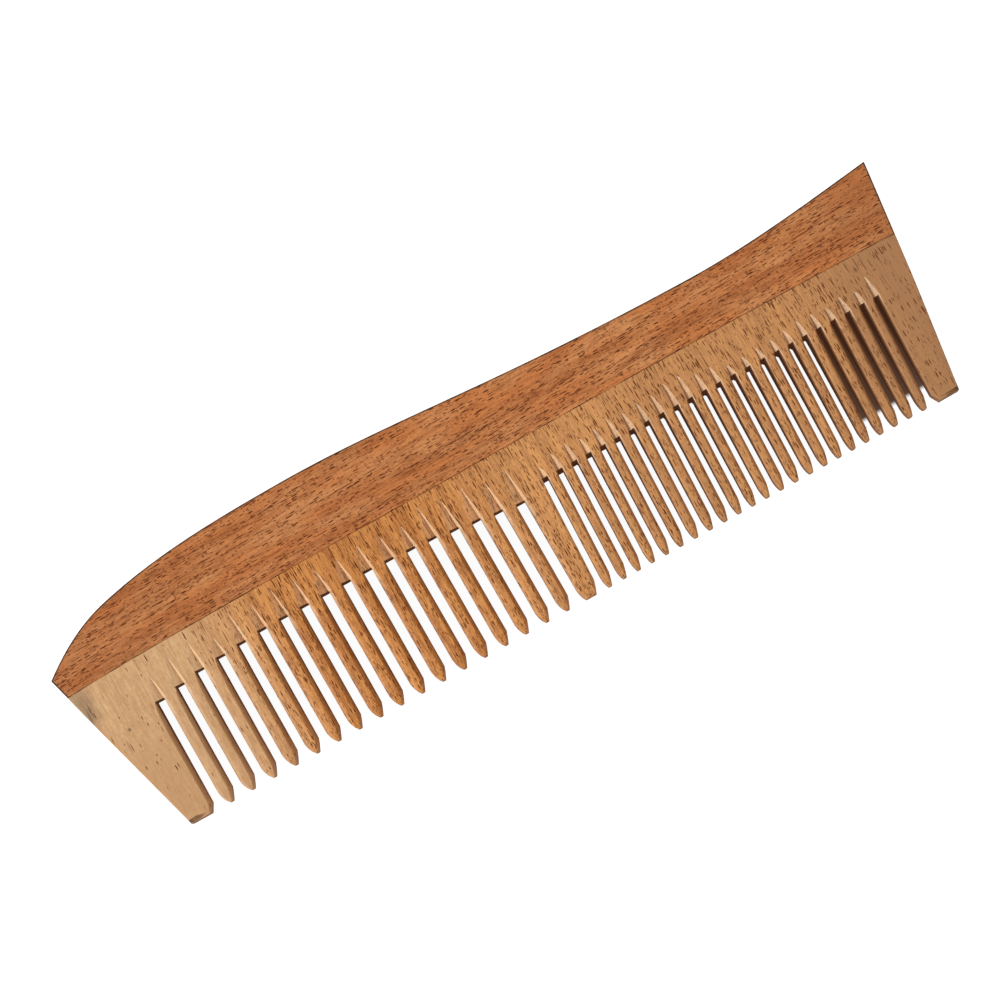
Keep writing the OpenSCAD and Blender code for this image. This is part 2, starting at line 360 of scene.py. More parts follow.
# Steps along the curves, between the root and the shoulder of a tooth, and along a groove
CURVE_STEPS = 24
TOOTH_STEPS = 26
GROOVE_STEPS = 9
# How the rows of a groove draw together towards its apex
GROOVE_CROWD = 1.6
# Steps along a coarse and a fine gap's root, the plate's ends above and along their whole
# length, and the spine's ends
ROOT_STEPS = (4, 3)
BAR_STEPS = 10
END_STEPS = 40
SPINE_LEFT_STEPS = 6
SPINE_RIGHT_STEPS = 18
# Distance between the points that fill a face, and least distance from a line, as a share of it
FILL = 1.0
CLEAR = 0.5
# Rows of a wall, as shares of its height
WALL_ROWS = (0.02, 0.2, 0.5, 0.8, 0.98)
# Places across an eased edge, as shares of its radius
EASED_SHARES = (0.134, 0.5, 1.0)
# Places across a tooth's bevel, as shares of its width
BEVEL_SHARES = (0.4, 1.0)
# Distance above the shoulder at which the lines of the bevels on the back end
BACK_ENDS = 1
# Width of the strip beside the glue line that holds its dark colour
GLUE_STRIP = 0.3
# Distance from the glue line within which the plate has no painted edge shade
CLEAN_CORNER = 1.2
# Distance from the plate's ends past which a wall is the side of a gap
SAWN_MARGIN = 0.1
# Mask of the painted edge shade along the teeth, beside 1 along the outer edges
TOOTH_EDGE_SHADE = 0.08
# Decimals that two places share when they are the same
PLACE_DIGITS = 3
EPSILON = 1e-5
SHARP_ANGLE = math.radians(24)


def lookup(x, rows, column):
    """The value of a column at x, on straight lines between the rows."""
    if x <= rows[0][0]:
        return rows[0][column]
    for low, high in zip(rows, rows[1:]):
        if x <= high[0]:
            t = (x - low[0]) / (high[0] - low[0])
            return low[column] + (high[column] - low[column]) * t
    return rows[-1][column]


def between(a, b, t):
    """Smooth curve through two rows of x, height and slope, at share t of the way."""
    run = b[0] - a[0]
    rise = (2 * t**3 - 3 * t**2 + 1) * a[1] + (t**3 - 2 * t**2 + t) * run * a[2]
    fall = (3 * t**2 - 2 * t**3) * b[1] + (t**3 - t**2) * run * b[2]
    return a[0] + run * t, rise + fall


def curve(table, steps):
    """Points of x and height along a table of x, height and slope."""
    found = [between(a, b, k / steps) for a, b in zip(table, table[1:]) for k in range(steps)]
    return found + [(table[-1][0], table[-1][1])]


def ease(distance, radius):
    """Drop of a rounded edge at a distance from it."""
    inside = max(radius - max(distance, 0.0), 0.0)
    return radius - math.sqrt(radius * radius - inside * inside)


def offset(path, distance):
    """The path moved to its right by a distance, with mitred corners."""
    moved = []
    for k, here in enumerate(path):
        normals = []
        for a, b in ((k - 1, k), (k, k + 1)):
            if a < 0 or b >= len(path):
                continue
            along = (Vector(path[b]) - Vector(path[a])).normalized()
            normals.append(Vector((along.y, -along.x)))
        total = sum(normals, Vector((0.0, 0.0)))
        scale = 2 / total.length_squared if len(normals) == 2 else 1.0
        moved.append(tuple(Vector(here) + total * scale * distance))
    return moved


def by_height(value):
    """The value of a place, asked for with a height in place of a depth."""
    return lambda x, y, *face: value(x, -y, *face)


def distance_to(path, point):
    """Distance from a point to a path."""
    least = math.inf
    px, py = point
    for (ax, ay), (bx, by) in zip(path, path[1:]):
        run = bx - ax
        rise = by - ay
        t = ((px - ax) * run + (py - ay) * rise) / (run * run + rise * rise)
        t = min(max(t, 0.0), 1.0)
        least = min(least, math.hypot(px - ax - run * t, py - ay - rise * t))
    return least


class Comb:
    """Places on the comb, in millimetres.

    x runs from the left end, depths from a datum near the glue line towards the tips and heights
    from it towards the back.
    """

    def __init__(self, sizes):
        for key in sizes.__annotations__:
            is_length = sizes.bl_rna.properties[key].unit == "LENGTH"
            setattr(self, key, getattr(sizes, key) / MM if is_length else getattr(sizes, key))
        self.gaps = self.coarse_gaps + self.fine_gaps
        self.datum_y = (LINES[0][TIP] - self.crest_h) / 2
        self.half_t = self.comb_t / 2
        self.middles = [self.gap_x(n) for n in range(self.gaps)]
        self.apexes = [
            lookup(x, LINES, APEX) + APEX_STRAY[n % len(APEX_STRAY)]
            for n, x in enumerate(self.middles)
        ]
        self.roots = [lookup(x, LINES, ROOT) for x in self.middles]
        glue = curve(glue_table(self), CURVE_STEPS)
        first = glue[0][1]
        last = glue[-1][1]
        glue[0] = (self.left_end(-first), first)
        glue[-1] = (self.right_end(-last), last)
        self.glue = glue
        self.back = curve(back_table(self), CURVE_STEPS)

    def left_end(self, depth):
        """x of the comb's left end at a depth."""
        return self.left_lean * (self.left_h + depth)

    def right_end(self, depth):
        """x of the comb's right end at a depth."""
        return self.comb_l - self.right_lean * (self.right_h + depth)

    def is_fine(self, n):
        """Whether gap or tooth n belongs to the fine set."""
        return n >= self.coarse_gaps

    def pick(self, n, key):
        """A size of the set that gap or tooth n belongs to."""
        return getattr(self, ("fine_" if self.is_fine(n) else "coarse_") + key)

    def gap_x(self, n):
        """x of the middle of gap n, where the spacing is measured."""
        k = n - self.coarse_gaps if self.is_fine(n) else n
        first = self.pick(n, "pitch_first")
        last = self.pick(n, "pitch_last")
        even = first * k - (first - last) / (self.pick(n, "gaps") - 2) * k * (k - 1) / 2
        return self.pick(n, "start") + even + self.pick(n, "wander") * math.sin(WANDER_TURN * n)

    def middle(self, n, depth):
        """x of the middle of gap n at a depth."""
        return self.middles[n] + self.pick(n, "lean") * (depth - SPACING_DEPTH)

    def side(self, n, depth, way):
        """The left (-1) or right (1) side of gap n, as the saw left it."""
        spot = Vector((depth / SAW_WAVE_LENGTH, n * SAW_WAVE_GAP, way * SAW_WAVE_SIDE))
        stray = self.saw_wave * noise.noise(spot)
        return self.middle(n, depth) + way * self.pick(n, "gap_w") / 2 + stray

    def groove(self, n, column):
        """A measure of the groove above gap n."""
        return (FINE_GROOVE if self.is_fine(n) else COARSE_GROOVE)[column]

    def keel_depth(self, n, depth):
        """Depth of groove n's keel, which falls in a curve as a round blade leaves it."""
        share = (depth - self.apexes[n]) / (self.roots[n] - self.apexes[n])
        return self.groove(n, DEEP) * max(share, 0.0) ** KEEL_ROUND[self.is_fine(n)]

    def keel_x(self, n, depth):
        """x of groove n's keel at a depth."""
        shift = self.groove(n, KEEL_ROOT) - self.groove(n, KEEL_TOP)
        lean = self.pick(n, "lean") + shift / (self.roots[n] - self.apexes[n])
        start = self.middle(n, self.apexes[n]) + self.groove(n, KEEL_TOP)
        return start + lean * (depth - self.apexes[n])

    def wall_run(self, n, way):
        """How far a wall of groove n runs sideways for each millimetre that it rises."""
        rim = self.groove(n, RIM_LEFT if way < 0 else RIM_RIGHT)
        return (rim - self.groove(n, KEEL_ROOT)) / self.groove(n, DEEP)

    def rim(self, n, depth, way):
        """Where the left or right wall of groove n meets the face."""
        return self.keel_x(n, depth) + self.wall_run(n, way) * self.keel_depth(n, depth)

    def kept(self, n, face):
        """Share of a groove's depth that is left on the face (1) or the back (-1)."""
        return COARSE_SANDED if face > 0 and not self.is_fine(n) else 1.0

    def bank(self, n, depth, way, face):
        """Width and drop of the bevel that groove n leaves on the wood beside it."""
        width = max(way * (self.rim(n, depth, way) - self.side(n, depth, way)), LEAST_BANK)
        return width, width / abs(self.wall_run(n, way)) * self.kept(n, face)

    def groove_drop(self, n, x, depth, face):
        """How deep groove n is below the face at a place."""
        if face < 0:
            drop, length, side = RUN_OUT[self.is_fine(n)]
            along = min(max((depth - self.roots[n]) / length + 1, 0.0), 1.0)
            out = abs(x - self.middle(n, depth)) - self.pick(n, "gap_w") / 2
            return drop * along * min(max(1 - out / side, 0.0), 1.0)
        if depth < self.apexes[n]:
            return 0.0
        away = x - self.keel_x(n, depth)
        run = self.wall_run(n, -1 if away < 0 else 1)
        return max(self.keel_depth(n, depth) - away / run, 0.0) * self.kept(n, face)

    def tooth_start(self, n):
        """Depth at which tooth n leaves the bar."""
        low = max(n, 0)
        high = min(n + 1, self.gaps - 1)
        return max(self.roots[low], self.roots[high]) + ROOT_MARGIN

    def tooth_tip(self, n):
        """Depth at which tooth n ends."""
        if self.is_guard(n):
            return lookup(self.middles[max(n, 0)], LINES, TIP)
        return lookup((self.middles[n] + self.middles[n + 1]) / 2, LINES, TIP)

    def is_guard(self, n):
        """Whether tooth n is one of the two outer teeth."""
        return n < 0 or n == self.gaps - 1

    def shoulder(self, n):
        """Depth at which tooth n starts to narrow to its end."""
        end = GUARD_CUT_LONG * self.guard_cut if self.is_guard(n) else self.point_l
        return self.tooth_tip(n) - end

    def before_shoulder(self, n, depth):
        """How far a depth is below the start of tooth n, as a share of the way to its shoulder."""
        start = self.tooth_start(n)
        return min(max((depth - start) / (self.shoulder(n) - start), 0.0), 1.0)

    def end_width(self, n):
        """Width of the blunt end of tooth n."""
        if n == self.coarse_gaps - 1:
            return self.divider_end_w
        return self.pick(n, "end_w")

    def past_shoulder(self, n, depth):
        """How far a depth is past the shoulder, as a share of the pointed end."""
        reach = self.tooth_tip(n) - self.shoulder(n)
        return min(max((depth - self.shoulder(n)) / reach, 0.0), 1.0)

    def tooth_sides(self, n, depth):
        """x of both sides of tooth n at a depth."""
        p = self.past_shoulder(n, depth)
        if n < 0:
            return self.left_end(depth), self.side(0, depth, -1) - self.guard_cut * p
        if n == self.gaps - 1:
            return self.side(n, depth, 1) + self.guard_cut * p, self.right_end(depth)
        shoulder = self.shoulder(n)
        width = self.side(n + 1, shoulder, -1) - self.side(n, shoulder, 1)
        inset = (width - self.end_width(n)) / 2
        left = self.side(n, depth, 1) + inset * lookup(p, POINT, INSET_LEFT)
        right = self.side(n + 1, depth, -1) - inset * lookup(p, POINT, INSET_RIGHT)
        return left, right

    def bevels(self, n, depth, face=1):
        """Width and drop of the left and right bevel of tooth n at a depth."""
        t = self.before_shoulder(n, depth)
        slim = 1 - POINT_SLIMS * self.past_shoulder(n, depth)
        found = []
        for gap, way, wide in (
            (n, 1, self.pick(max(n, 0), "bevel_left")),
            (n + 1, -1, self.pick(min(n + 1, self.gaps - 1), "bevel_right")),
        ):
            if gap < 0 or gap >= self.gaps:
                found.append((self.eased, 0.0))
                continue
            if self.is_guard(n):
                wide = self.coarse_bevel_right if n < 0 else self.fine_bevel_left
            if face < 0:
                stages = FINE_BACK if self.is_fine(gap) else COARSE_BACK
            else:
                begin = (0.0, *self.bank(gap, self.tooth_start(n), way, face))
                stages = [begin, *self.face_bevel(gap, way, wide)]
            found.append((lookup(t, stages, WIDTH) * slim, lookup(t, stages, DROP) * slim))
        return found

    def face_bevel(self, gap, way, wide):
        """Rows of a face bevel beside a gap past its start: share of the way, width, drop."""
        if way < 0:
            rows = FINE_RIGHT if self.is_fine(gap) else COARSE_RIGHT
            deep = wide * RIGHT_STEEP[self.is_fine(gap)]
            return [(part, wide * width, deep * drop) for part, width, drop in rows]
        if self.is_fine(gap):
            return [(1.0, wide, wide)]
        early, drop = LEFT_EARLY
        return [(early, wide * LEFT_SPREAD, wide * drop), (1.0, wide * LEFT_SPREAD, wide)]

    def thickness(self, n, depth):
        """Thickness of tooth n at a depth, between its bevels."""
        full = self.comb_t + (self.shoulder_t - self.comb_t) * self.before_shoulder(n, depth)
        if self.is_guard(n):
            return full
        return full * lookup(self.past_shoulder(n, depth), POINT, THICK)

    def tooth_at(self, x, depth):
        """The tooth that a place belongs to, from -1 at the left."""
        return sum(self.middle(k, depth) < x for k in range(self.gaps)) - 1

    def groove_raw(self, x, depth):
        """How pale the saw left the wood in the grooves, with painted light on the walls that face
        the key light, 0 outside them.
        """
        n = self.tooth_at(x, depth)
        if depth > self.tooth_start(n):
            return 0.0
        drop, k = max((self.groove_drop(k, x, depth, 1), k) for k in self.beside(n))
        if drop == 0.0:
            return 0.0
        return RAW_AND_LIT_WALLS[self.is_fine(k)][x > self.keel_x(k, depth)]

    def bevel_raw(self, x, depth):
        """How pale the file left the wood on the left bevels, with painted light where they face
        the key light, 0 elsewhere.
        """
        n = self.tooth_at(x, depth)
        if n < 0 or depth < self.tooth_start(n) - EPSILON:
            return 0.0
        x0, _ = self.tooth_sides(n, depth)
        (w0, _), _ = self.bevels(n, depth)
        most, reach, least = RAW_AND_LIT_BEVELS[self.is_fine(n)]
        fresh = max(most - (depth - self.tooth_start(n)) / reach, least)
        return min(max(1 - (x - x0) / w0, 0.0) * RAW_AND_LIT_RISE, 1.0) * fresh

    def dull(self, x, depth):
        """1 on the right bevels, which face away from the key light and get painted shade, 0
        elsewhere.
        """
        n = self.tooth_at(x, depth)
        if depth <= self.tooth_start(n) or n in (self.coarse_gaps - 1, self.gaps - 1):
            return 0.0
        _, x1 = self.tooth_sides(n, depth)
        _, (w1, _) = self.bevels(n, depth)
        return min(max(1 - (x1 - x) / w1, 0.0) * BEVEL_SHADE_RISE, 1.0)

    def beside(self, n):
        """The gaps on both sides of tooth n."""
        return [k for k in (n, n + 1) if 0 <= k < self.gaps]

    def joint(self, x, y):
        """1 on the glue line, falling to 0 at the border of its strip."""
        return max(1 - abs(y - lookup(x, self.glue, HEIGHT)) / GLUE_STRIP, 0.0)

    def plate_half(self, x, depth, face):
        """Half the thickness of the tooth plate at a place."""
        n = self.tooth_at(x, depth)
        outer = ease(x - self.left_end(depth), self.eased)
        outer = max(outer, ease(self.right_end(depth) - x, self.eased))
        if depth <= self.tooth_start(n):
            drop = max(self.groove_drop(k, x, depth, face) for k in self.beside(n))
            joint = ease(depth + lookup(x, self.glue, HEIGHT), self.joint_eased)
            return self.half_t - drop - max(outer, joint)
        x0, x1 = self.tooth_sides(n, depth)
        (w0, drop0), (w1, drop1) = self.bevels(n, depth, face)
        bow = 1 + BEVEL_BOW * min((depth - self.tooth_start(n)) / BOW_LENGTH, 1.0)
        left = drop0 * max(1 - (x - x0) / w0, 0.0) ** bow
        right = drop1 * max(1 - (x1 - x) / w1, 0.0) ** bow
        return self.thickness(n, depth) / 2 - max(left, right, outer)

    def rows(self, n):
        """Depths of the rows along tooth n."""
        start = self.tooth_start(n)
        shoulder = self.shoulder(n)
        step = (shoulder - start) / TOOTH_STEPS
        found = [start, start + ROOT_MARGIN]
        found += [start + step * k for k in range(1, TOOTH_STEPS + 1)]
        return found + [shoulder + (self.tooth_tip(n) - shoulder) * p for p in POINT_ROWS]


def inner_steps(start, end, steps):
    """Evenly spaced values between start and end, without both."""
    return [start + (end - start) * k / steps for k in range(1, steps)]


def inner_points(a, b, steps):
    """Evenly spaced points between two points, without both."""
    return list(zip(*(inner_steps(low, high, steps) for low, high in zip(a, b))))


def plate_outline(c):
    """The tooth plate's outline, clockwise from the left end of the glue line."""
    outline = [(x, -height) for x, height in c.glue]
    last = c.gaps - 1
    bar_rows = inner_steps(outline[-1][1], c.tooth_start(last), BAR_STEPS)
    outline += [(c.right_end(depth), depth) for depth in bar_rows]
    for n in range(last, -2, -1):
        rows = c.rows(n)
        outline += [(c.tooth_sides(n, depth)[1], depth) for depth in rows]
        outline += [(c.tooth_sides(n, depth)[0], depth) for depth in reversed(rows)]
        if n >= 0:
            root = c.roots[n]
            steps = ROOT_STEPS[c.is_fine(n)]
            left = c.side(n, root, -1)
            right = c.side(n, root, 1)
            outline += [(right + (left - right) * k / steps, root) for k in range(steps + 1)]
    bar_rows = inner_steps(outline[0][1], c.tooth_start(-1), BAR_STEPS)
    outline += [(c.left_end(depth), depth) for depth in reversed(bar_rows)]
    return outline


def plate_lines(c):
    """Lines that the faces of the tooth plate bend along."""
    lines = []
    for n in range(c.gaps):
        apex = c.apexes[n]
        shares = [(k / GROOVE_STEPS) ** GROOVE_CROWD for k in range(GROOVE_STEPS + 1)]
        depths = [apex + (c.roots[n] - apex) * part for part in shares]
        lines.append([(c.keel_x(n, depth), depth) for depth in depths])
        for tooth, way in ((n - 1, -1), (n, 1)):
            past = depths + [c.tooth_start(tooth)]
            lines.append([(c.rim(n, depth, way), depth) for depth in past])
            _, length, side = RUN_OUT[c.is_fine(n)]
            run_out = [c.roots[n] - length * (1 - k / GROOVE_STEPS) for k in range(GROOVE_STEPS)]
            for out in (0.0, side):
                reach = way * (c.pick(n, "gap_w") / 2 + out)
                lines.append([(c.middle(n, depth) + reach, depth) for depth in run_out])
    for n in range(-1, c.gaps):
        rows = c.rows(n)
        inner = []
        outer = []
        for depth in rows:
            x0, x1 = c.tooth_sides(n, depth)
            (w0, _), (w1, _) = c.bevels(n, depth)
            inner.append((x0, w0))
            outer.append((x1, w1))
        if n >= 0:
            for part in BEVEL_SHARES:
                lines.append([(x0 + w0 * part, d) for (x0, w0), d in zip(inner, rows)])
        if n < c.gaps - 1:
            for part in BEVEL_SHARES:
                lines.append([(x1 - w1 * part, d) for (x1, w1), d in zip(outer, rows)])
        if n < c.coarse_gaps:
            near = [d for d in rows if d < c.shoulder(n) - BACK_ENDS]
            width = COARSE_BACK[0][WIDTH]
            if n >= 0:
                lines.append([(c.tooth_sides(n, d)[0] + width, d) for d in near])
            lines.append([(c.tooth_sides(n, d)[1] - width, d) for d in near])
        for part, *_ in POINT[:-1]:
            depth = c.shoulder(n) + (c.tooth_tip(n) - c.shoulder(n)) * part
            x0, x1 = c.tooth_sides(n, depth)
            lines.append([(x0, depth), (x1, depth)])
    for part in EASED_SHARES:
        inset = part * c.eased
        for end, way, tooth in ((c.left_end, 1, -1), (c.right_end, -1, c.gaps - 1)):
            depths = inner_steps(0, c.tooth_tip(tooth), END_STEPS)
            lines.append([(end(depth) + way * inset, depth) for depth in depths])
    for drop in (c.joint_eased, GLUE_STRIP):
        lines.append([(x, drop - height) for x, height in c.glue[1:-1]])
    return lines


def spine_path(c):
    """The spine's outer edge, from the glue line at the left to the glue line at the right."""
    left = inner_points(c.glue[0], c.back[0], SPINE_LEFT_STEPS)
    right = inner_points(c.back[-1], c.glue[-1], SPINE_RIGHT_STEPS)
    return [c.glue[0], *left, *c.back, *right, c.glue[-1]]


def within(triangles, fence):
    """The triangles that a closed fence of edges holds."""
    beside = {}
    for k, (a, b, c) in enumerate(triangles):
        for pair in ((a, b), (b, c), (c, a)):
            beside.setdefault(frozenset(pair), []).append(k)
    outside = {ks[0] for pair, ks in beside.items() if len(ks) == 1 and pair not in fence}
    queue = list(outside)
    while queue:
        a, b, c = triangles[queue.pop()]
        for pair in (frozenset((a, b)), frozenset((b, c)), frozenset((c, a))):
            if pair in fence:
                continue
            found = [k for k in beside[pair] if k not in outside]
            outside.update(found)
            queue += found
    return [triangle for k, triangle in enumerate(triangles) if k not in outside]


def filled(outline, lines):
    """Small triangles that fill an outline and bend along lines: their points and corners."""
    points = [Vector(p) for p in outline]
    edges = [(k, (k + 1) % len(points)) for k in range(len(points))]
    for line in lines:
        first = len(points)
        points += [Vector(p) for p in line]
        edges += [(k, k + 1) for k in range(first, len(points) - 1)]
    near = kdtree.KDTree(len(points))
    for k, p in enumerate(points):
        near.insert((p.x, p.y, 0.0), k)
    near.balance()
    left = min(p.x for p in points)
    right = max(p.x for p in points)
    low = min(p.y for p in points)
    high = max(p.y for p in points)
    for row in range(int((high - low) / FILL) + 1):
        for column in range(int((right - left) / FILL) + 1):
            x = left + FILL * (column + 0.5 * (row % 2))
            y = low + FILL * row
            if near.find((x, y, 0.0))[2] > FILL * CLEAR:
                points.append(Vector((x, y)))
    flat, links, triangles, _, sources, _ = delaunay_2d_cdt(points, edges, [], 0, EPSILON)
    fence = {
        frozenset(link)
        for link, source in zip(links, sources)
        if any(k < len(outline) for k in source)
    }
    return flat, within(triangles, fence)


def slab(name, outline, lines, half, masks, patches, sawn, comb):
    """A mesh of two like faces over an outline of x and height, with upright walls between them.

    half gives half the thickness at a place, masks names the values kept at each point and
    patches those kept on each small face. sawn says whether the wall at a place was sawn.
    The edge mask stays on the faces.
    """
    flat, triangles = filled(outline, lines)
    used = sorted({k for triangle in triangles for k in triangle})
    shape = bmesh.new()
    layers = {key: shape.verts.layers.float.new(key) for key in masks}
    flats = {key: shape.loops.layers.float.new(key) for key in patches}
    cut = shape.loops.layers.float.new("cut")
    top = {}
    bottom = {}
    for k in used:
        x, y = flat[k]
        values = {key: value(x, y) for key, value in masks.items()}
        for faces, way in ((top, 1), (bottom, -1)):
            spot = Vector((x / SANDING_LENGTH, y / SANDING_WIDTH, way * SANDING_FACE))
            wave = comb.face_wave * (0.5 + 0.5 * noise.noise(spot))
            z = comb.half_t + way * (half(x, y, way) - wave)
            place = Vector((x - comb.comb_l / 2, comb.datum_y + y, z)) * MM
            faces[k] = shape.verts.new(place)
            for key, value in values.items():
                faces[k][layers[key]] = value
    border = {}
    for a, b, c in triangles:
        middle = (flat[a] + flat[b] + flat[c]) / 3
        for corners in ((top[a], top[b], top[c]), (bottom[c], bottom[b], bottom[a])):
            made = shape.faces.new(corners)
            for key, value in patches.items():
                level = value(*middle)
                for loop in made.loops:
                    loop[flats[key]] = level
        for pair in ((a, b), (b, c), (c, a)):
            if (pair[1], pair[0]) in border:
                del border[pair[1], pair[0]]
            else:
                border[pair] = True
    walls = {}
    for a, _ in border:
        column = [top[a]]
        for part in WALL_ROWS:
            vert = shape.verts.new(top[a].co.lerp(bottom[a].co, part))
            for key in masks:
                vert[layers[key]] = 0.0 if key == "edge" else top[a][layers[key]]
            column.append(vert)
        walls[a] = column + [bottom[a]]
    for a, b in border:
        level = float(sawn(*((flat[a] + flat[b]) / 2)))
        for k in range(len(WALL_ROWS) + 1):
            corners = (walls[a][k], walls[a][k + 1], walls[b][k + 1], walls[b][k])
            wall = shape.faces.new(corners)
            for loop in wall.loops:
                loop[cut] = level
    mesh = bpy.data.meshes.new(name)
    shape.to_mesh(mesh)
    shape.free()
    mesh.shade_smooth()
    mesh.set_sharp_from_angle(angle=SHARP_ANGLE)
    piece = bpy.data.objects.new(name, mesh)
    bpy.context.scene.collection.objects.link(piece)
    return piece


# Layout of the nodes in their editor: columns, and room for each across and down
NODE_COLUMNS = 12
NODE_ACROSS = 200
NODE_DOWN = 180
# Sockets of a Mix node that belong to colours
MIX_FACTOR = 0
MIX_FIRST = 6
MIX_SECOND = 7
MIX_RESULT = 2


class Wires:
    """Adds nodes to one tree and wires them together."""

    def __init__(self, tree):
        self.tree = tree

    def add(self, kind, **settings):
        """A new node with its settings."""
        node = self.tree.nodes.new(kind)
        for key, value in settings.items():
            setattr(node, key, value)
        row, column = divmod(len(self.tree.nodes), NODE_COLUMNS)
        node.location = (NODE_ACROSS * column, -NODE_DOWN * row)
        return node

    def feed(self, socket, value):
        """Links a socket to another, or gives it a plain value."""
        if isinstance(value, bpy.types.NodeSocket):
            self.tree.links.new(value, socket)
        else:
            socket.default_value = value

    def math(self, operation, a, b=0.0):
        """The result of a Math node."""
        node = self.add("ShaderNodeMath", operation=operation)
        self.feed(node.inputs[0], a)
        self.feed(node.inputs[1], b)
        return node.outputs[0]

    def vector(self, operation, a, b=(0.0, 0.0, 0.0)):
        """The result of a Vector Math node."""
        node = self.add("ShaderNodeVectorMath", operation=operation)
        self.feed(node.inputs[0], a)
        self.feed(node.inputs[1], b)
        return node.outputs["Value" if operation == "LENGTH" else "Vector"]

    def join(self, x, y, z):
        """A vector of three values."""
        node = self.add("ShaderNodeCombineXYZ")
        for socket, value in zip(node.inputs, (x, y, z)):
            self.feed(socket, value)
        return node.outputs[0]

    def split(self, vector):
        """The three values of a vector."""
        node = self.add("ShaderNodeSeparateXYZ")
        self.feed(node.inputs[0], vector)
        return node.outputs

    def blend(self, factor, a, b):
        """A mix of two colours, the first at 0 and the second at 1."""
        node = self.add("ShaderNodeMix", data_type="RGBA")
        self.feed(node.inputs[MIX_FACTOR], factor)
        self.feed(node.inputs[MIX_FIRST], a)
        self.feed(node.inputs[MIX_SECOND], b)
        return node.outputs[MIX_RESULT]

    def ramp(self, value, low, high, to_low=0.0, to_high=1.0):
        """A soft step from to_low at low to to_high at high."""
        node = self.add("ShaderNodeMapRange", interpolation_type="SMOOTHSTEP")
        for socket, given in zip(node.inputs, (value, low, high, to_low, to_high)):
            self.feed(socket, given)
        return node.outputs[0]

    def cloud(self, vector, scale, detail=2.0, rough=0.5):
        """Soft noise between 0 and 1."""
        node = self.add("ShaderNodeTexNoise", noise_dimensions="3D")
        self.feed(node.inputs["Vector"], vector)
        node.inputs["Scale"].default_value = scale
        node.inputs["Detail"].default_value = detail
        node.inputs["Roughness"].default_value = rough
        return node.outputs["Fac"]

    def group(self, tree, **values):
        """Places a node group. Names of its inputs are given with _ for a space."""
        node = self.add("ShaderNodeGroup", node_tree=tree)
        for key, value in values.items():
            self.feed(node.inputs[key.replace("_", " ")], value)
        return node.outputs[0]


def new_group(name, inputs, output):
    """An empty node group with named sockets: its wires, its inputs and its one output socket."""
    tree = bpy.data.node_groups.new(name, "ShaderNodeTree")
    for label, kind, default in inputs:
        socket = tree.interface.new_socket(label, in_out="INPUT", socket_type=kind)
        socket.default_value = default
    tree.interface.new_socket(output, in_out="OUTPUT", socket_type="NodeSocketFloat")
    wires = Wires(tree)
    entry = wires.add("NodeGroupInput")
    leave = wires.add("NodeGroupOutput")
    return wires, entry.outputs, leave.inputs[output]


NUMBER = "NodeSocketFloat"
VECTOR = "NodeSocketVector"
# Scale of the slow cloud that makes the grain waver, along it and across
WAVER_SCALE = (0.03, 0.09, 0.09)
# Clouds: scale, detail and, where it isn't 0.5, roughness
GRAIN_CLOUD = (1.0, 3.0, 0.55)
SPOT_CLOUD = (0.8, 3.0)
EDGE_SHADE_CLOUD = (0.5, 3.0)
PATCH_CLOUD = (1.0, 3.0)
MOTTLE_CLOUD = (1.0, 5.0, 0.85)
JOINT_CLOUD = (0.25, 4.0)
# Cells of the pores: length beside a pore's length, and height beside its width
PORE_PITCH = 1.25
PORE_LAYER = 0.7
# How soon a pore ends in its cell, along the grain, across it and into the wood
PORE_ENDS = 2.5
PORE_SIDES = 2.0
PORE_BELOW = 0.8
# Ramps: the girth of pores, the border of a pore, the border of a spot and how unevenly the
# painted shade lies along the edges
GIRTH_RAMP = (0.0, 1.0, 0.75, 1.6)
PORE_BORDER = (0.6, 0.85, 1.0, 0.0)
SPOT_BORDER = (0.25, 1.0, 1.0, 0.0)
EDGE_SHADE_RAMP = (0.35, 0.65, 0.6, 1.0)


def grain_group():
    """Streaks of grain along X. Width is their width, Stretch how much longer they are."""
    wires, given, result = new_group(
        "wood grain",
        [
            ("Vector", VECTOR, (0.0, 0.0, 0.0)),
            ("Width", NUMBER, 1.0),
            ("Stretch", NUMBER, 20.0),
            ("Waver", NUMBER, 0.5),
        ],
        "Grain",
    )
    calm = wires.vector("MULTIPLY", given["Vector"], WAVER_SCALE)
    sway = wires.math("SUBTRACT", wires.cloud(calm, 1.0), 0.5)
    sway = wires.math("MULTIPLY", sway, given["Waver"])
    moved = wires.vector("ADD", given["Vector"], wires.join(0.0, sway, sway))
    x, y, z = wires.split(moved)
    long = wires.math("MULTIPLY", given["Width"], given["Stretch"])
    squeezed = wires.join(
        wires.math("DIVIDE", x, long),
        wires.math("DIVIDE", y, given["Width"]),
        wires.math("DIVIDE", z, given["Width"]),
    )
    wires.feed(result, wires.cloud(squeezed, *GRAIN_CLOUD))
    return wires.tree


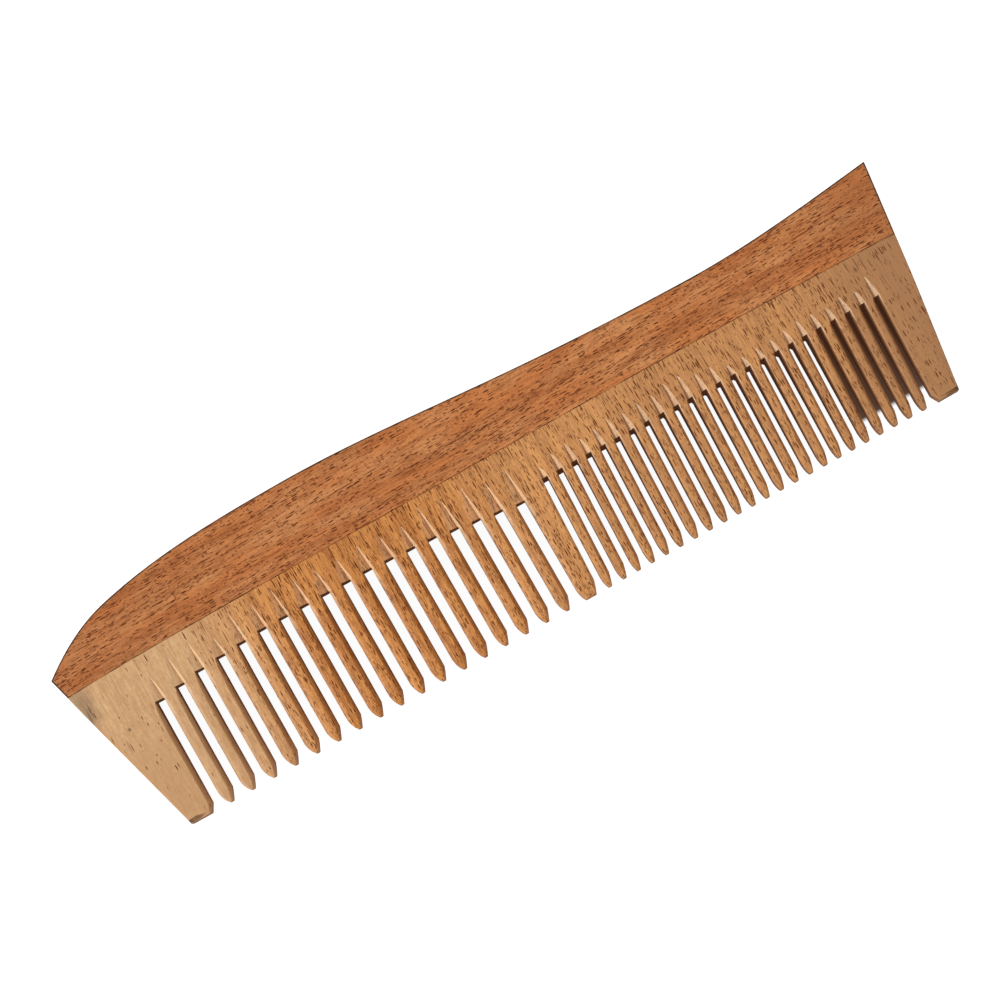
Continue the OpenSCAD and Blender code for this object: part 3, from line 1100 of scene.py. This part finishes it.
def pore_group():
    """Open pores as short dashes along X. Present is the share of the cells that hold one."""
    wires, given, result = new_group(
        "wood pores",
        [
            ("Vector", VECTOR, (0.0, 0.0, 0.0)),
            ("Length", NUMBER, 1.6),
            ("Width", NUMBER, 0.2),
            ("Spacing", NUMBER, 1.0),
            ("Present", NUMBER, 0.6),
        ],
        "Pores",
    )
    x, y, z = wires.split(given["Vector"])
    pitch = wires.math("MULTIPLY", given["Length"], PORE_PITCH)
    layer = wires.math("MULTIPLY", given["Width"], PORE_LAYER)
    cell = wires.join(
        wires.math("DIVIDE", x, pitch),
        wires.math("DIVIDE", y, given["Spacing"]),
        wires.math("DIVIDE", z, layer),
    )
    seeds = wires.add("ShaderNodeTexVoronoi", voronoi_dimensions="3D", feature="F1")
    wires.feed(seeds.inputs["Vector"], cell)
    seeds.inputs["Scale"].default_value = 1.0
    chance, girth, _ = wires.split(seeds.outputs["Color"])
    away = wires.vector("SUBTRACT", cell, seeds.outputs["Position"])
    thin = wires.math("MULTIPLY", given["Spacing"], PORE_SIDES)
    thin = wires.math("DIVIDE", thin, given["Width"])
    away = wires.vector("MULTIPLY", away, wires.join(PORE_ENDS, thin, PORE_BELOW))
    away = wires.vector("LENGTH", away)
    away = wires.math("MULTIPLY", away, wires.ramp(girth, *GIRTH_RAMP))
    dash = wires.ramp(away, *PORE_BORDER)
    there = wires.math("LESS_THAN", chance, given["Present"])
    wires.feed(result, wires.math("MULTIPLY", dash, there))
    return wires.tree


def spot_group():
    """A soft spot round a centre, with a ragged border."""
    wires, given, result = new_group(
        "soft spot",
        [
            ("Vector", VECTOR, (0.0, 0.0, 0.0)),
            ("Centre", VECTOR, (0.0, 0.0, 0.0)),
            ("Reach", VECTOR, (1.0, 1.0, 8.0)),
            ("Ragged", NUMBER, 0.5),
        ],
        "Spot",
    )
    away = wires.vector("SUBTRACT", given["Vector"], given["Centre"])
    away = wires.vector("LENGTH", wires.vector("DIVIDE", away, given["Reach"]))
    uneven = wires.math("SUBTRACT", wires.cloud(given["Vector"], *SPOT_CLOUD), 0.5)
    away = wires.math("ADD", away, wires.math("MULTIPLY", uneven, given["Ragged"]))
    wires.feed(result, wires.ramp(away, *SPOT_BORDER))
    return wires.tree


def edge_shade_group():
    """Painted shade along the outer edges, from a value that is 1 on the edge."""
    wires, given, result = new_group(
        "edge wear",
        [
            ("Vector", VECTOR, (0.0, 0.0, 0.0)),
            ("Edge", NUMBER, 0.0),
            ("Amount", NUMBER, 1.0),
        ],
        "Worn",
    )
    uneven = wires.ramp(wires.cloud(given["Vector"], *EDGE_SHADE_CLOUD), *EDGE_SHADE_RAMP)
    shaded = wires.math("MULTIPLY", wires.math("MULTIPLY", given["Edge"], uneven), given["Amount"])
    wires.feed(result, shaded)
    return wires.tree


def shared_group(name, make):
    """The node group of that name, built by make when it isn't there yet."""
    return bpy.data.node_groups.get(name) or make()


def effects():
    """The node groups that both woods share."""
    return {
        "grain": shared_group("wood grain", grain_group),
        "pores": shared_group("wood pores", pore_group),
        "spot": shared_group("soft spot", spot_group),
        "wear": shared_group("edge wear", edge_shade_group),
    }


# What both woods share: specular level, and a painted glow on the sawn sides that stands in for
# light shining through the thin wood
SPECULAR = 0.15
PAINTED_GLOW = (0.034, 0.013, 0.006, 1.0)
BLACK = (0.0, 0.0, 0.0, 1.0)
# Strength of the pores, from upright walls to the faces, by how far a place looks up or down
UPRIGHT_RAMP = (0.2, 0.6, 0.4, 1.0)
# Turn that lays the grain along X, in degrees
SPINE_TURN = -1.2
PLATE_TURN = 88.5

# Grain from broad to fine: its width, how much longer it is and how much it wavers, and the
# ramp that makes it a share of the dark colour
SPINE_GRAIN = [
    ((2.4, 30.0, 3.0), (0.3, 0.7, 0.1, 0.4)),
    ((0.4, 10.0, 0.6), (0.38, 0.62, 0.0, 0.3)),
    ((0.19, 2.0, 0.0), (0.36, 0.64, 0.0, 0.24)),
]
PLATE_GRAIN = [
    ((2.6, 14.0, 2.0), (0.32, 0.68, 0.08, 0.38)),
    ((0.4, 10.0, 0.5), (0.38, 0.62, 0.0, 0.34)),
    ((0.19, 2.0, 0.0), (0.38, 0.62, 0.0, 0.22)),
]
# Rows that the pores stand in, like the grain, and the ramp that makes them a share of cells
SPINE_ROWS = ((0.6, 24.0, 0.8), (0.42, 0.62, 0.15, 0.8))
PLATE_ROWS = ((0.7, 18.0, 0.5), (0.38, 0.6, 0.15, 0.75))
# Short, tiny and long pores: length, width, spacing, strength
SPINE_PORES = [
    (1.5, 0.24, 0.46, 1.0),
    (0.7, 0.24, 0.42, 0.8),
    (3.6, 0.2, 0.66, 0.85),
]
PLATE_PORES = [
    (1.9, 0.24, 0.46, 1.0),
    (0.8, 0.24, 0.44, 0.8),
    (3.8, 0.2, 0.62, 0.85),
]
# Share of the spine's cells that hold a tiny pore
SPINE_TINY = 0.24
# Share of the plate's cells that hold a tiny pore, beside the share that hold a longer one
PLATE_TINY = 0.35

# Marks: x, y, half their size along both, strength. Those of the spine run along the comb
SPINE_STREAKS = [
    (-79.8, 16.7, 4.5, 0.3, 0.5),
    (-77.8, 15.4, 3.2, 0.28, 0.5),
    (-50.5, 20.6, 16.0, 0.3, 0.4),
    (-50.5, 13.1, 16.0, 0.3, 0.35),
    (-22.9, 21.6, 9.0, 0.25, 0.45),
    (24.1, 15.1, 21.0, 0.3, 0.3),
    (84.0, 15.0, 9.0, 0.3, 0.45),
]
PLATE_MARKS = [
    (-85.9, -3.3, 0.45, 0.55, 0.6),
    (-87.5, -6.0, 0.35, 2.4, 0.25),
    (-90.9, 3.5, 0.36, 2.6, 0.5),
    (-91.5, 2.5, 0.36, 2.6, 0.5),
    (82.5, 5.9, 0.45, 0.8, 0.45),
]
STAINS = [
    (-92.3, 4.7, 4.4, 7.0, 0.62),
]
# How the marks go into the wood: height of their middle, reach up and down, raggedness
STREAKS_INTO = (4.25, 9.0, 0.6)
MARKS_INTO = (8.5, 4.0, 0.4)
STAINS_INTO = (8.5, 6.0, 0.6)

# Spine: scale and ramp of its redder patches, its painted shade at the left end that evens out the
# key light, and its redder right end
PATCH_SCALE = (0.07, 0.25, 0.25)
PATCH_RAMP = (0.35, 0.65)
SPINE_LEFT_SHADE = (-92.0, -40.0, 0.22, 0.0)
SPINE_RIGHT = (70.0, 96.0, 0.0, 0.3)
SPINE_RED = (0.3, 0.11, 0.04, 1.0)
# Plate, along x: from sapwood to heartwood, paler from the divider on, duller at the right end
# and a little on the fine set
HEART_RAMP = (-76.0, -46.0)
PALER_RAMP = (-20.0, 8.0, 0.0, 0.16)
FAR_RAMPS = ((62.0, 90.0, 0.0, 0.55), (12.0, 32.0, 0.0, 0.2))
# Plate: duller sapwood towards the left tips, along x and y
LOW_X = (-88.0, -60.0, 0.6, 0.0)
LOW_Y = (-16.0, 4.0, 1.0, 0.0)
# Plate: ramp of the mottle, and what is left of it from sapwood to heartwood
MOTTLE_RAMP = (0.4, 0.6, 0.05, 0.45)
MOTTLE_HEART = (0.0, 1.0, 1.0, 0.15)
# Plate: what is left of the pores from sapwood to heartwood and towards the far end
PORES_HEART = (0.0, 1.0, 0.06, 1.0)
PORES_FAR = (0.2, 0.75, 1.0, 0.5)
# Plate: how strong the pale raw wood and painted light are over the fine grain, and the painted
# shade on the right bevels
RAW_AND_LIT_RAMP = (0.36, 0.64, 0.95, 0.68)
BEVEL_SHADE_STRENGTH = 0.38

# Finish: painted shade along the edges, its strength on the spine and the plate, and the glue line
EDGE_RAMP = (0.0, 0.25)
SPINE_EDGE_SHADE = 1.0
PLATE_EDGE_SHADE = 0.8
JOINT_RAMP = (0.5, 0.95)
JOINT_UNEVEN = (0.35, 0.65, 0.2, 0.95)
# Finish: how far the sawn sides take the sawn colour, which is partly painted shade
SAWN_SHADE_STRENGTH = 0.8
# Finish: roughness that the fibres, the pores and the saw add
FIBRE_ROUGH = (0.3, 0.7)
FIBRE_ROUGH_MORE = 0.1
PORE_ROUGH = 0.2
SAWN_ROUGH = 0.2
# Finish: height of the fibres beside the depth of the pores, and the relief of both
FIBRE_HEIGHT = 0.35
RELIEF_STRENGTH = 0.5
RELIEF_DEPTH = 0.06


def new_wood(name):
    """A wood material: its wires, its principled shader and places in millimetres."""
    material = bpy.data.materials.new(name)
    material.use_nodes = True
    wires = Wires(material.node_tree)
    shader = material.node_tree.nodes["Principled BSDF"]
    shader.inputs["Specular IOR Level"].default_value = SPECULAR
    shader.inputs["Emission Strength"].default_value = 1.0
    where = wires.add("ShaderNodeTexCoord").outputs["Object"]
    return material, wires, shader, in_millimetres(wires, where)


def in_millimetres(wires, where):
    """Places in metres, as millimetres."""
    return wires.vector("MULTIPLY", where, (1 / MM, 1 / MM, 1 / MM))


def attribute(wires, name):
    """A value that the mesh keeps under a name."""
    return wires.add("ShaderNodeAttribute", attribute_name=name).outputs["Fac"]


def flatness(wires):
    """1 on the two faces of the comb, less on its upright walls."""
    normal = wires.add("ShaderNodeNewGeometry").outputs["True Normal"]
    upward = wires.math("ABSOLUTE", wires.split(normal)[2])
    return wires.ramp(upward, *UPRIGHT_RAMP)


def turned(wires, place, degrees):
    """Places turned so that the grain runs along X."""
    node = wires.add("ShaderNodeMapping", vector_type="POINT")
    wires.feed(node.inputs["Vector"], place)
    node.inputs["Rotation"].default_value = (0.0, 0.0, math.radians(degrees))
    return node.outputs["Vector"]


def grain(wires, along, streak):
    """Grain of a width, a stretch and a waver."""
    width, stretch, waver = streak
    tree = effects()["grain"]
    return wires.group(tree, Vector=along, Width=width, Stretch=stretch, Waver=waver)


def dark_share(wires, along, table):
    """Share of the dark colour that all grain adds up to, and each grain by itself."""
    streaks = [grain(wires, along, streak) for streak, _ in table]
    tones = [wires.ramp(streak, *ramp) for streak, (_, ramp) in zip(streaks, table)]
    total = tones[0]
    for tone in tones[1:]:
        total = wires.math("ADD", total, tone)
    return total, streaks


def open_pores(wires, along, table, dense, tiny_dense):
    """Short, tiny and long pores together, fainter on upright walls."""
    tree = effects()["pores"]
    found = []
    for (length, width, spacing, strength), present in zip(table, (dense, tiny_dense, dense)):
        pore = wires.group(
            tree, Vector=along, Length=length, Width=width, Spacing=spacing, Present=present
        )
        found.append(wires.math("MULTIPLY", pore, strength))
    short, tiny, long = found
    pores = wires.math("MAXIMUM", wires.math("MAXIMUM", tiny, long), short)
    return wires.math("MULTIPLY", pores, flatness(wires))


def marked(wires, place, colour, table, into, tone):
    """The colour with soft marks of a tone over it."""
    tree = effects()["spot"]
    height, reach, ragged = into
    for x, y, half_x, half_y, strength in table:
        centre = (x, y, height)
        sides = (half_x, half_y, reach)
        spot = wires.group(tree, Vector=place, Centre=centre, Reach=sides, Ragged=ragged)
        colour = wires.blend(wires.math("MULTIPLY", spot, strength), colour, tone)
    return colour


def spine_material(finish):
    """Oiled heartwood with its grain along the comb."""
    material, wires, shader, place = new_wood("oiled spine wood")
    along = turned(wires, place, SPINE_TURN)
    dark_part, (_, fibres, _) = dark_share(wires, along, SPINE_GRAIN)
    patch = wires.cloud(wires.vector("MULTIPLY", along, PATCH_SCALE), *PATCH_CLOUD)
    patch = wires.ramp(patch, *PATCH_RAMP)
    light = wires.blend(patch, tuple(finish.spine_light), tuple(finish.spine_warm))
    dark = tuple(finish.spine_dark)
    pore_colour = tuple(finish.spine_pore)
    colour = wires.blend(dark_part, light, dark)
    colour = marked(wires, place, colour, SPINE_STREAKS, STREAKS_INTO, pore_colour)
    x, _, _ = wires.split(place)
    # Painted shade at the left end, where the key light falls strongest
    colour = wires.blend(wires.ramp(x, *SPINE_LEFT_SHADE), colour, dark)
    colour = wires.blend(wires.ramp(x, *SPINE_RIGHT), colour, SPINE_RED)
    streak, ramp = SPINE_ROWS
    dense = wires.ramp(grain(wires, along, streak), *ramp)
    pores = open_pores(wires, along, SPINE_PORES, dense, SPINE_TINY)
    colour = wires.blend(pores, colour, pore_colour)
    finish_wood(wires, shader, place, colour, pores, fibres, SPINE_EDGE_SHADE, finish)
    return material


def plate_material(finish):
    """Paler wood with its grain along the teeth."""
    material, wires, shader, place = new_wood("oiled plate wood")
    along = turned(wires, place, PLATE_TURN)
    dark_part, (_, fibres, speckle) = dark_share(wires, along, PLATE_GRAIN)
    x, y, _ = wires.split(place)
    heart = wires.ramp(x, *HEART_RAMP)
    pale = tuple(finish.plate_pale)
    pale_dark = tuple(finish.plate_pale_dark)
    light = wires.blend(heart, pale, tuple(finish.plate_light))
    dark = wires.blend(heart, pale_dark, tuple(finish.plate_dark))
    colour = wires.blend(dark_part, light, dark)
    mottle = wires.ramp(wires.cloud(place, *MOTTLE_CLOUD), *MOTTLE_RAMP)
    mottle = wires.math("MULTIPLY", mottle, wires.ramp(heart, *MOTTLE_HEART))
    colour = wires.blend(mottle, colour, dark)
    colour = wires.blend(wires.ramp(x, *PALER_RAMP), colour, pale)
    low = wires.math("MULTIPLY", wires.ramp(x, *LOW_X), wires.ramp(y, *LOW_Y))
    colour = wires.blend(low, colour, pale_dark)
    far_end, fine_set = FAR_RAMPS
    far = wires.math("ADD", wires.ramp(x, *far_end), wires.ramp(x, *fine_set))
    colour = wires.blend(far, colour, tuple(finish.plate_far))
    colour = marked(wires, place, colour, STAINS, STAINS_INTO, tuple(finish.stain))
    colour = marked(wires, place, colour, PLATE_MARKS, MARKS_INTO, tuple(finish.rim))
    streak, ramp = PLATE_ROWS
    dense = wires.ramp(grain(wires, along, streak), *ramp)
    dense = wires.math("MULTIPLY", dense, wires.ramp(heart, *PORES_HEART))
    dense = wires.math("MULTIPLY", dense, wires.ramp(far, *PORES_FAR))
    tiny_dense = wires.math("MULTIPLY", dense, PLATE_TINY)
    pores = open_pores(wires, along, PLATE_PORES, dense, tiny_dense)
    colour = wires.blend(pores, colour, tuple(finish.plate_pore))
    # Paler raw wood, with painted light on the walls and bevels that face the key light
    raw = wires.math("MAXIMUM", attribute(wires, "raw"), attribute(wires, "groove"))
    raw = wires.math("MULTIPLY", raw, wires.ramp(speckle, *RAW_AND_LIT_RAMP))
    colour = wires.blend(raw, colour, tuple(finish.raw))
    # Painted shade on the right bevels, which face away from the key light
    dull = wires.math("MULTIPLY", attribute(wires, "dull"), BEVEL_SHADE_STRENGTH)
    colour = wires.blend(dull, colour, tuple(finish.plate_dark))
    finish_wood(wires, shader, place, colour, pores, fibres, PLATE_EDGE_SHADE, finish)
    return material


def finish_wood(wires, shader, place, colour, pores, fibres, edge_shading, finish):
    """What both woods share: sawn sides with painted shade and a painted glow, the glue line,
    painted shade along the edges, roughness and relief.
    """
    cut = attribute(wires, "cut")
    # A dark line painted along the outer edges, as shade of the eased edges
    edge = wires.ramp(attribute(wires, "edge"), *EDGE_RAMP)
    shaded = wires.group(effects()["wear"], Vector=place, Edge=edge, Amount=edge_shading)
    # Sawn sides take the darker sawn colour, partly painted shade of the narrow gaps
    sawn = wires.math("MULTIPLY", cut, SAWN_SHADE_STRENGTH)
    colour = wires.blend(sawn, colour, tuple(finish.sawn))
    colour = wires.blend(shaded, colour, tuple(finish.rim))
    # The sawn sides glow: painted light in the narrow gaps, though the wood is no lamp
    glow = wires.blend(cut, BLACK, PAINTED_GLOW)
    wires.feed(shader.inputs["Emission Color"], glow)
    uneven = wires.ramp(wires.cloud(place, *JOINT_CLOUD), *JOINT_UNEVEN)
    joint = wires.ramp(attribute(wires, "joint"), *JOINT_RAMP)
    colour = wires.blend(wires.math("MULTIPLY", joint, uneven), colour, tuple(finish.glue))
    wires.feed(shader.inputs["Base Color"], colour)
    least = finish.roughness
    rough = wires.ramp(fibres, *FIBRE_ROUGH, least, least + FIBRE_ROUGH_MORE)
    rough = wires.math("ADD", wires.math("MULTIPLY", pores, PORE_ROUGH), rough)
    rough = wires.math("ADD", rough, wires.math("MULTIPLY", cut, SAWN_ROUGH))
    wires.feed(shader.inputs["Roughness"], rough)
    relief = wires.math("SUBTRACT", wires.math("MULTIPLY", fibres, FIBRE_HEIGHT), pores)
    bump = wires.add("ShaderNodeBump")
    bump.inputs["Strength"].default_value = RELIEF_STRENGTH
    bump.inputs["Distance"].default_value = RELIEF_DEPTH * MM
    wires.feed(bump.inputs["Height"], relief)
    wires.feed(shader.inputs["Normal"], bump.outputs["Normal"])


class COMB_OT_spine(Operator):
    """Builds the shaped spine with its eased outer edges"""

    bl_idname = "comb.spine"
    bl_label = "Build Spine"

    def execute(self, context):
        comb = Comb(context.scene.comb_sizes)
        path = spine_path(comb)
        seam = comb.glue[1:-1]
        outline = path + seam[::-1]
        lines = [offset(path, comb.eased * part) for part in EASED_SHARES]
        for rise in (comb.joint_eased, GLUE_STRIP):
            lines.append([(x, height + rise) for x, height in seam])

        def half(x, y, _):
            joint = ease(y - lookup(x, comb.glue, HEIGHT), comb.joint_eased)
            return comb.half_t - max(ease(distance_to(path, (x, y)), comb.eased), joint)

        def edge(x, y):
            return max(1 - distance_to(path, (x, y)) / comb.eased, 0.0)

        def sawn(x, y):
            return False

        masks = {"edge": edge, "joint": comb.joint}
        piece = slab("shaped_spine", outline, lines, half, masks, {}, sawn, comb)
        piece.data.materials.append(spine_material(context.scene.comb_finish))
        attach(piece, "root")
        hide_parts("spine")
        return {"FINISHED"}


class COMB_OT_tooth_plate(Operator):
    """Builds the tooth plate with its saw cuts, lead-in grooves and pointed teeth"""

    bl_idname = "comb.tooth_plate"
    bl_label = "Build Tooth Plate"

    def execute(self, context):
        comb = Comb(context.scene.comb_sizes)
        outline = [(x, -depth) for x, depth in plate_outline(comb)]
        lines = [[(x, -depth) for x, depth in line] for line in plate_lines(comb)]
        rim = {(round(x, PLACE_DIGITS), round(y, PLACE_DIGITS)) for x, y in outline}
        roots = {round(-root, PLACE_DIGITS) for root in comb.roots}

        def sawn(x, y):
            left = comb.left_end(-y) + SAWN_MARGIN
            return left < x < comb.right_end(-y) - SAWN_MARGIN

        def edge(x, y):
            spot = (round(x, PLACE_DIGITS), round(y, PLACE_DIGITS))
            is_joint = abs(y - lookup(x, comb.glue, HEIGHT)) < CLEAN_CORNER
            if spot not in rim or spot[1] in roots or is_joint:
                return 0.0
            return TOOTH_EDGE_SHADE if sawn(x, y) else 1.0

        half = by_height(comb.plate_half)
        raw = by_height(comb.bevel_raw)
        dull = by_height(comb.dull)
        masks = {"edge": edge, "joint": comb.joint, "raw": raw, "dull": dull}
        patches = {"groove": by_height(comb.groove_raw)}
        piece = slab("sawn_tooth_plate", outline, lines, half, masks, patches, sawn, comb)
        piece.data.materials.append(plate_material(context.scene.comb_finish))
        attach(piece, "root")
        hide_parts(*[name for name in sorted(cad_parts) if name != "spine"])
        return {"FINISHED"}


# Floor: half its side and its place below the comb, in metres, and squares along a side
FLOOR_HALF = 3.0
FLOOR_HEIGHT = -0.00005
FLOOR_SQUARES = 8
FLOOR_ROUGH = 0.9
# Floor as the camera sees it: its grey, and the colour and strength of the light it sends out
FLOOR_GREY = (0.3, 0.3, 0.3, 1.0)
FLOOR_LIGHT = (1.0, 1.0, 1.0, 1.0)
FLOOR_STRENGTH = 0.95
# Shade on the floor under the last gaps: ramps along x and y, in millimetres
SHADE_START = (68.6, 69.2)
SHADE_END = (86.0, 87.0, 1.0, 0.0)
SHADE_LOW = (-20.6, -19.4)
SHADE_HIGH = (2.0, 4.0, 1.0, 0.0)
SHADE_COLOUR = (0.055, 0.022, 0.009, 1.0)
# Room: colour and strength of its light
ROOM_COLOUR = (0.95, 0.97, 1.0, 1.0)
ROOM_STRENGTH = 0.34
# Lights: place and side, in metres
KEY_PLACE = (-1.5, -0.1, 1.45)
KEY_SIDE = 1.0
FILL_PLACE = (1.6, 0.2, 1.0)
FILL_SIDE = 1.2
# Camera: where it stands, what it aims at and its sensor, in millimetres, and the nearest and
# the farthest that it sees, in metres
CAMERA_PLACE = Vector((-12.06, -70.58, 518.5))
CAMERA_AIM = Vector((-0.84, 0.54, 8.5))
SENSOR = 36.0
NEAREST = 0.01
FARTHEST = 20.0


def soft_light(name, place, side, power):
    """A square area light aimed at the middle of the comb."""
    data = bpy.data.lights.new(name, "AREA")
    data.shape = "SQUARE"
    data.size = side
    data.energy = power
    light = bpy.data.objects.new(name, data)
    light.location = place
    light.rotation_euler = (-Vector(place)).to_track_quat("-Z", "Y").to_euler()
    bpy.context.scene.collection.objects.link(light)


def floor_material(colour):
    """A pale floor that is white to the camera, with shade under the last gaps."""
    material = bpy.data.materials.new("pale floor")
    material.use_nodes = True
    wires = Wires(material.node_tree)
    shader = material.node_tree.nodes["Principled BSDF"]
    shader.inputs["Roughness"].default_value = FLOOR_ROUGH
    seen = wires.add("ShaderNodeLightPath").outputs["Is Camera Ray"]
    wires.feed(shader.inputs["Base Color"], wires.blend(seen, colour, FLOOR_GREY))
    where = wires.add("ShaderNodeNewGeometry").outputs["Position"]
    x, y, _ = wires.split(in_millimetres(wires, where))
    shade = wires.math("MULTIPLY", wires.ramp(x, *SHADE_START), wires.ramp(x, *SHADE_END))
    shade = wires.math("MULTIPLY", shade, wires.ramp(y, *SHADE_LOW))
    shade = wires.math("MULTIPLY", shade, wires.ramp(y, *SHADE_HIGH))
    strength = wires.math("MULTIPLY", seen, FLOOR_STRENGTH)
    wires.feed(shader.inputs["Emission Strength"], strength)
    glow = wires.blend(shade, FLOOR_LIGHT, SHADE_COLOUR)
    wires.feed(shader.inputs["Emission Color"], glow)
    return material


def camera_pose(turn):
    """The camera's pose over the comb, with the comb's length turned in the picture."""
    forward = (CAMERA_AIM - CAMERA_PLACE).normalized()
    level = (Vector((1, 0, 0)) - forward * forward.x).normalized()
    down = forward.cross(level)
    right = level * math.cos(turn) + down * math.sin(turn)
    up = level * math.sin(turn) - down * math.cos(turn)
    pose = Matrix((right, up, -forward)).transposed().to_4x4()
    pose.translation = CAMERA_PLACE * MM
    return pose


class COMB_OT_studio(Operator):
    """Builds the pale floor, the soft lights and the camera"""

    bl_idname = "comb.studio"
    bl_label = "Build Studio"

    def execute(self, context):
        studio = context.scene.comb_studio
        scene = context.scene
        scene.view_settings.view_transform = "Standard"
        scene.view_settings.look = "None"

        squares = FLOOR_SQUARES
        shape = bmesh.new()
        bmesh.ops.create_grid(shape, x_segments=squares, y_segments=squares, size=FLOOR_HALF)
        mesh = bpy.data.meshes.new("floor")
        shape.to_mesh(mesh)
        shape.free()
        floor = bpy.data.objects.new("floor", mesh)
        floor.location.z = FLOOR_HEIGHT
        scene.collection.objects.link(floor)
        mesh.materials.append(floor_material(tuple(studio.floor_colour)))

        world = bpy.data.worlds.new("pale room")
        world.use_nodes = True
        background = world.node_tree.nodes["Background"]
        background.inputs["Color"].default_value = ROOM_COLOUR
        background.inputs["Strength"].default_value = ROOM_STRENGTH
        scene.world = world

        soft_light("key light", KEY_PLACE, KEY_SIDE, studio.key_power)
        soft_light("fill light", FILL_PLACE, FILL_SIDE, studio.fill_power)

        data = bpy.data.cameras.new("camera")
        data.sensor_width = SENSOR
        data.lens = studio.lens
        data.clip_start = NEAREST
        data.clip_end = FARTHEST
        camera = bpy.data.objects.new("camera", data)
        camera.matrix_world = camera_pose(studio.turn)
        scene.collection.objects.link(camera)
        scene.camera = camera
        return {"FINISHED"}


class COMB_PT_sidebar(Panel):
    """Sizes, colours and the buttons that build the comb"""

    bl_label = "Wooden Comb"
    bl_idname = "COMB_PT_sidebar"
    bl_space_type = "VIEW_3D"
    bl_region_type = "UI"
    bl_category = "Comb"

    def draw(self, context):
        for title, group in (
            ("Sizes", context.scene.comb_sizes),
            ("Finish", context.scene.comb_finish),
            ("Studio", context.scene.comb_studio),
        ):
            box = self.layout.box()
            box.label(text=title)
            for key in group.__annotations__:
                box.prop(group, key)
        for operator in BUILDERS:
            self.layout.operator(operator.bl_idname)


GROUPS = (CombSizes, CombFinish, CombStudio)
BUILDERS = (COMB_OT_studio, COMB_OT_spine, COMB_OT_tooth_plate)
CLASSES = (*GROUPS, *BUILDERS, COMB_PT_sidebar)


def register():
    for made in CLASSES:
        bpy.utils.register_class(made)
    bpy.types.Scene.comb_sizes = PointerProperty(type=CombSizes)
    bpy.types.Scene.comb_finish = PointerProperty(type=CombFinish)
    bpy.types.Scene.comb_studio = PointerProperty(type=CombStudio)


def unregister():
    del bpy.types.Scene.comb_studio
    del bpy.types.Scene.comb_finish
    del bpy.types.Scene.comb_sizes
    for made in reversed(CLASSES):
        bpy.utils.unregister_class(made)


def main():
    """Builds everything in order."""
    register()
    bpy.ops.comb.studio()
    bpy.ops.comb.spine()
    bpy.ops.comb.tooth_plate()


if __name__ == "__main__":
    main()
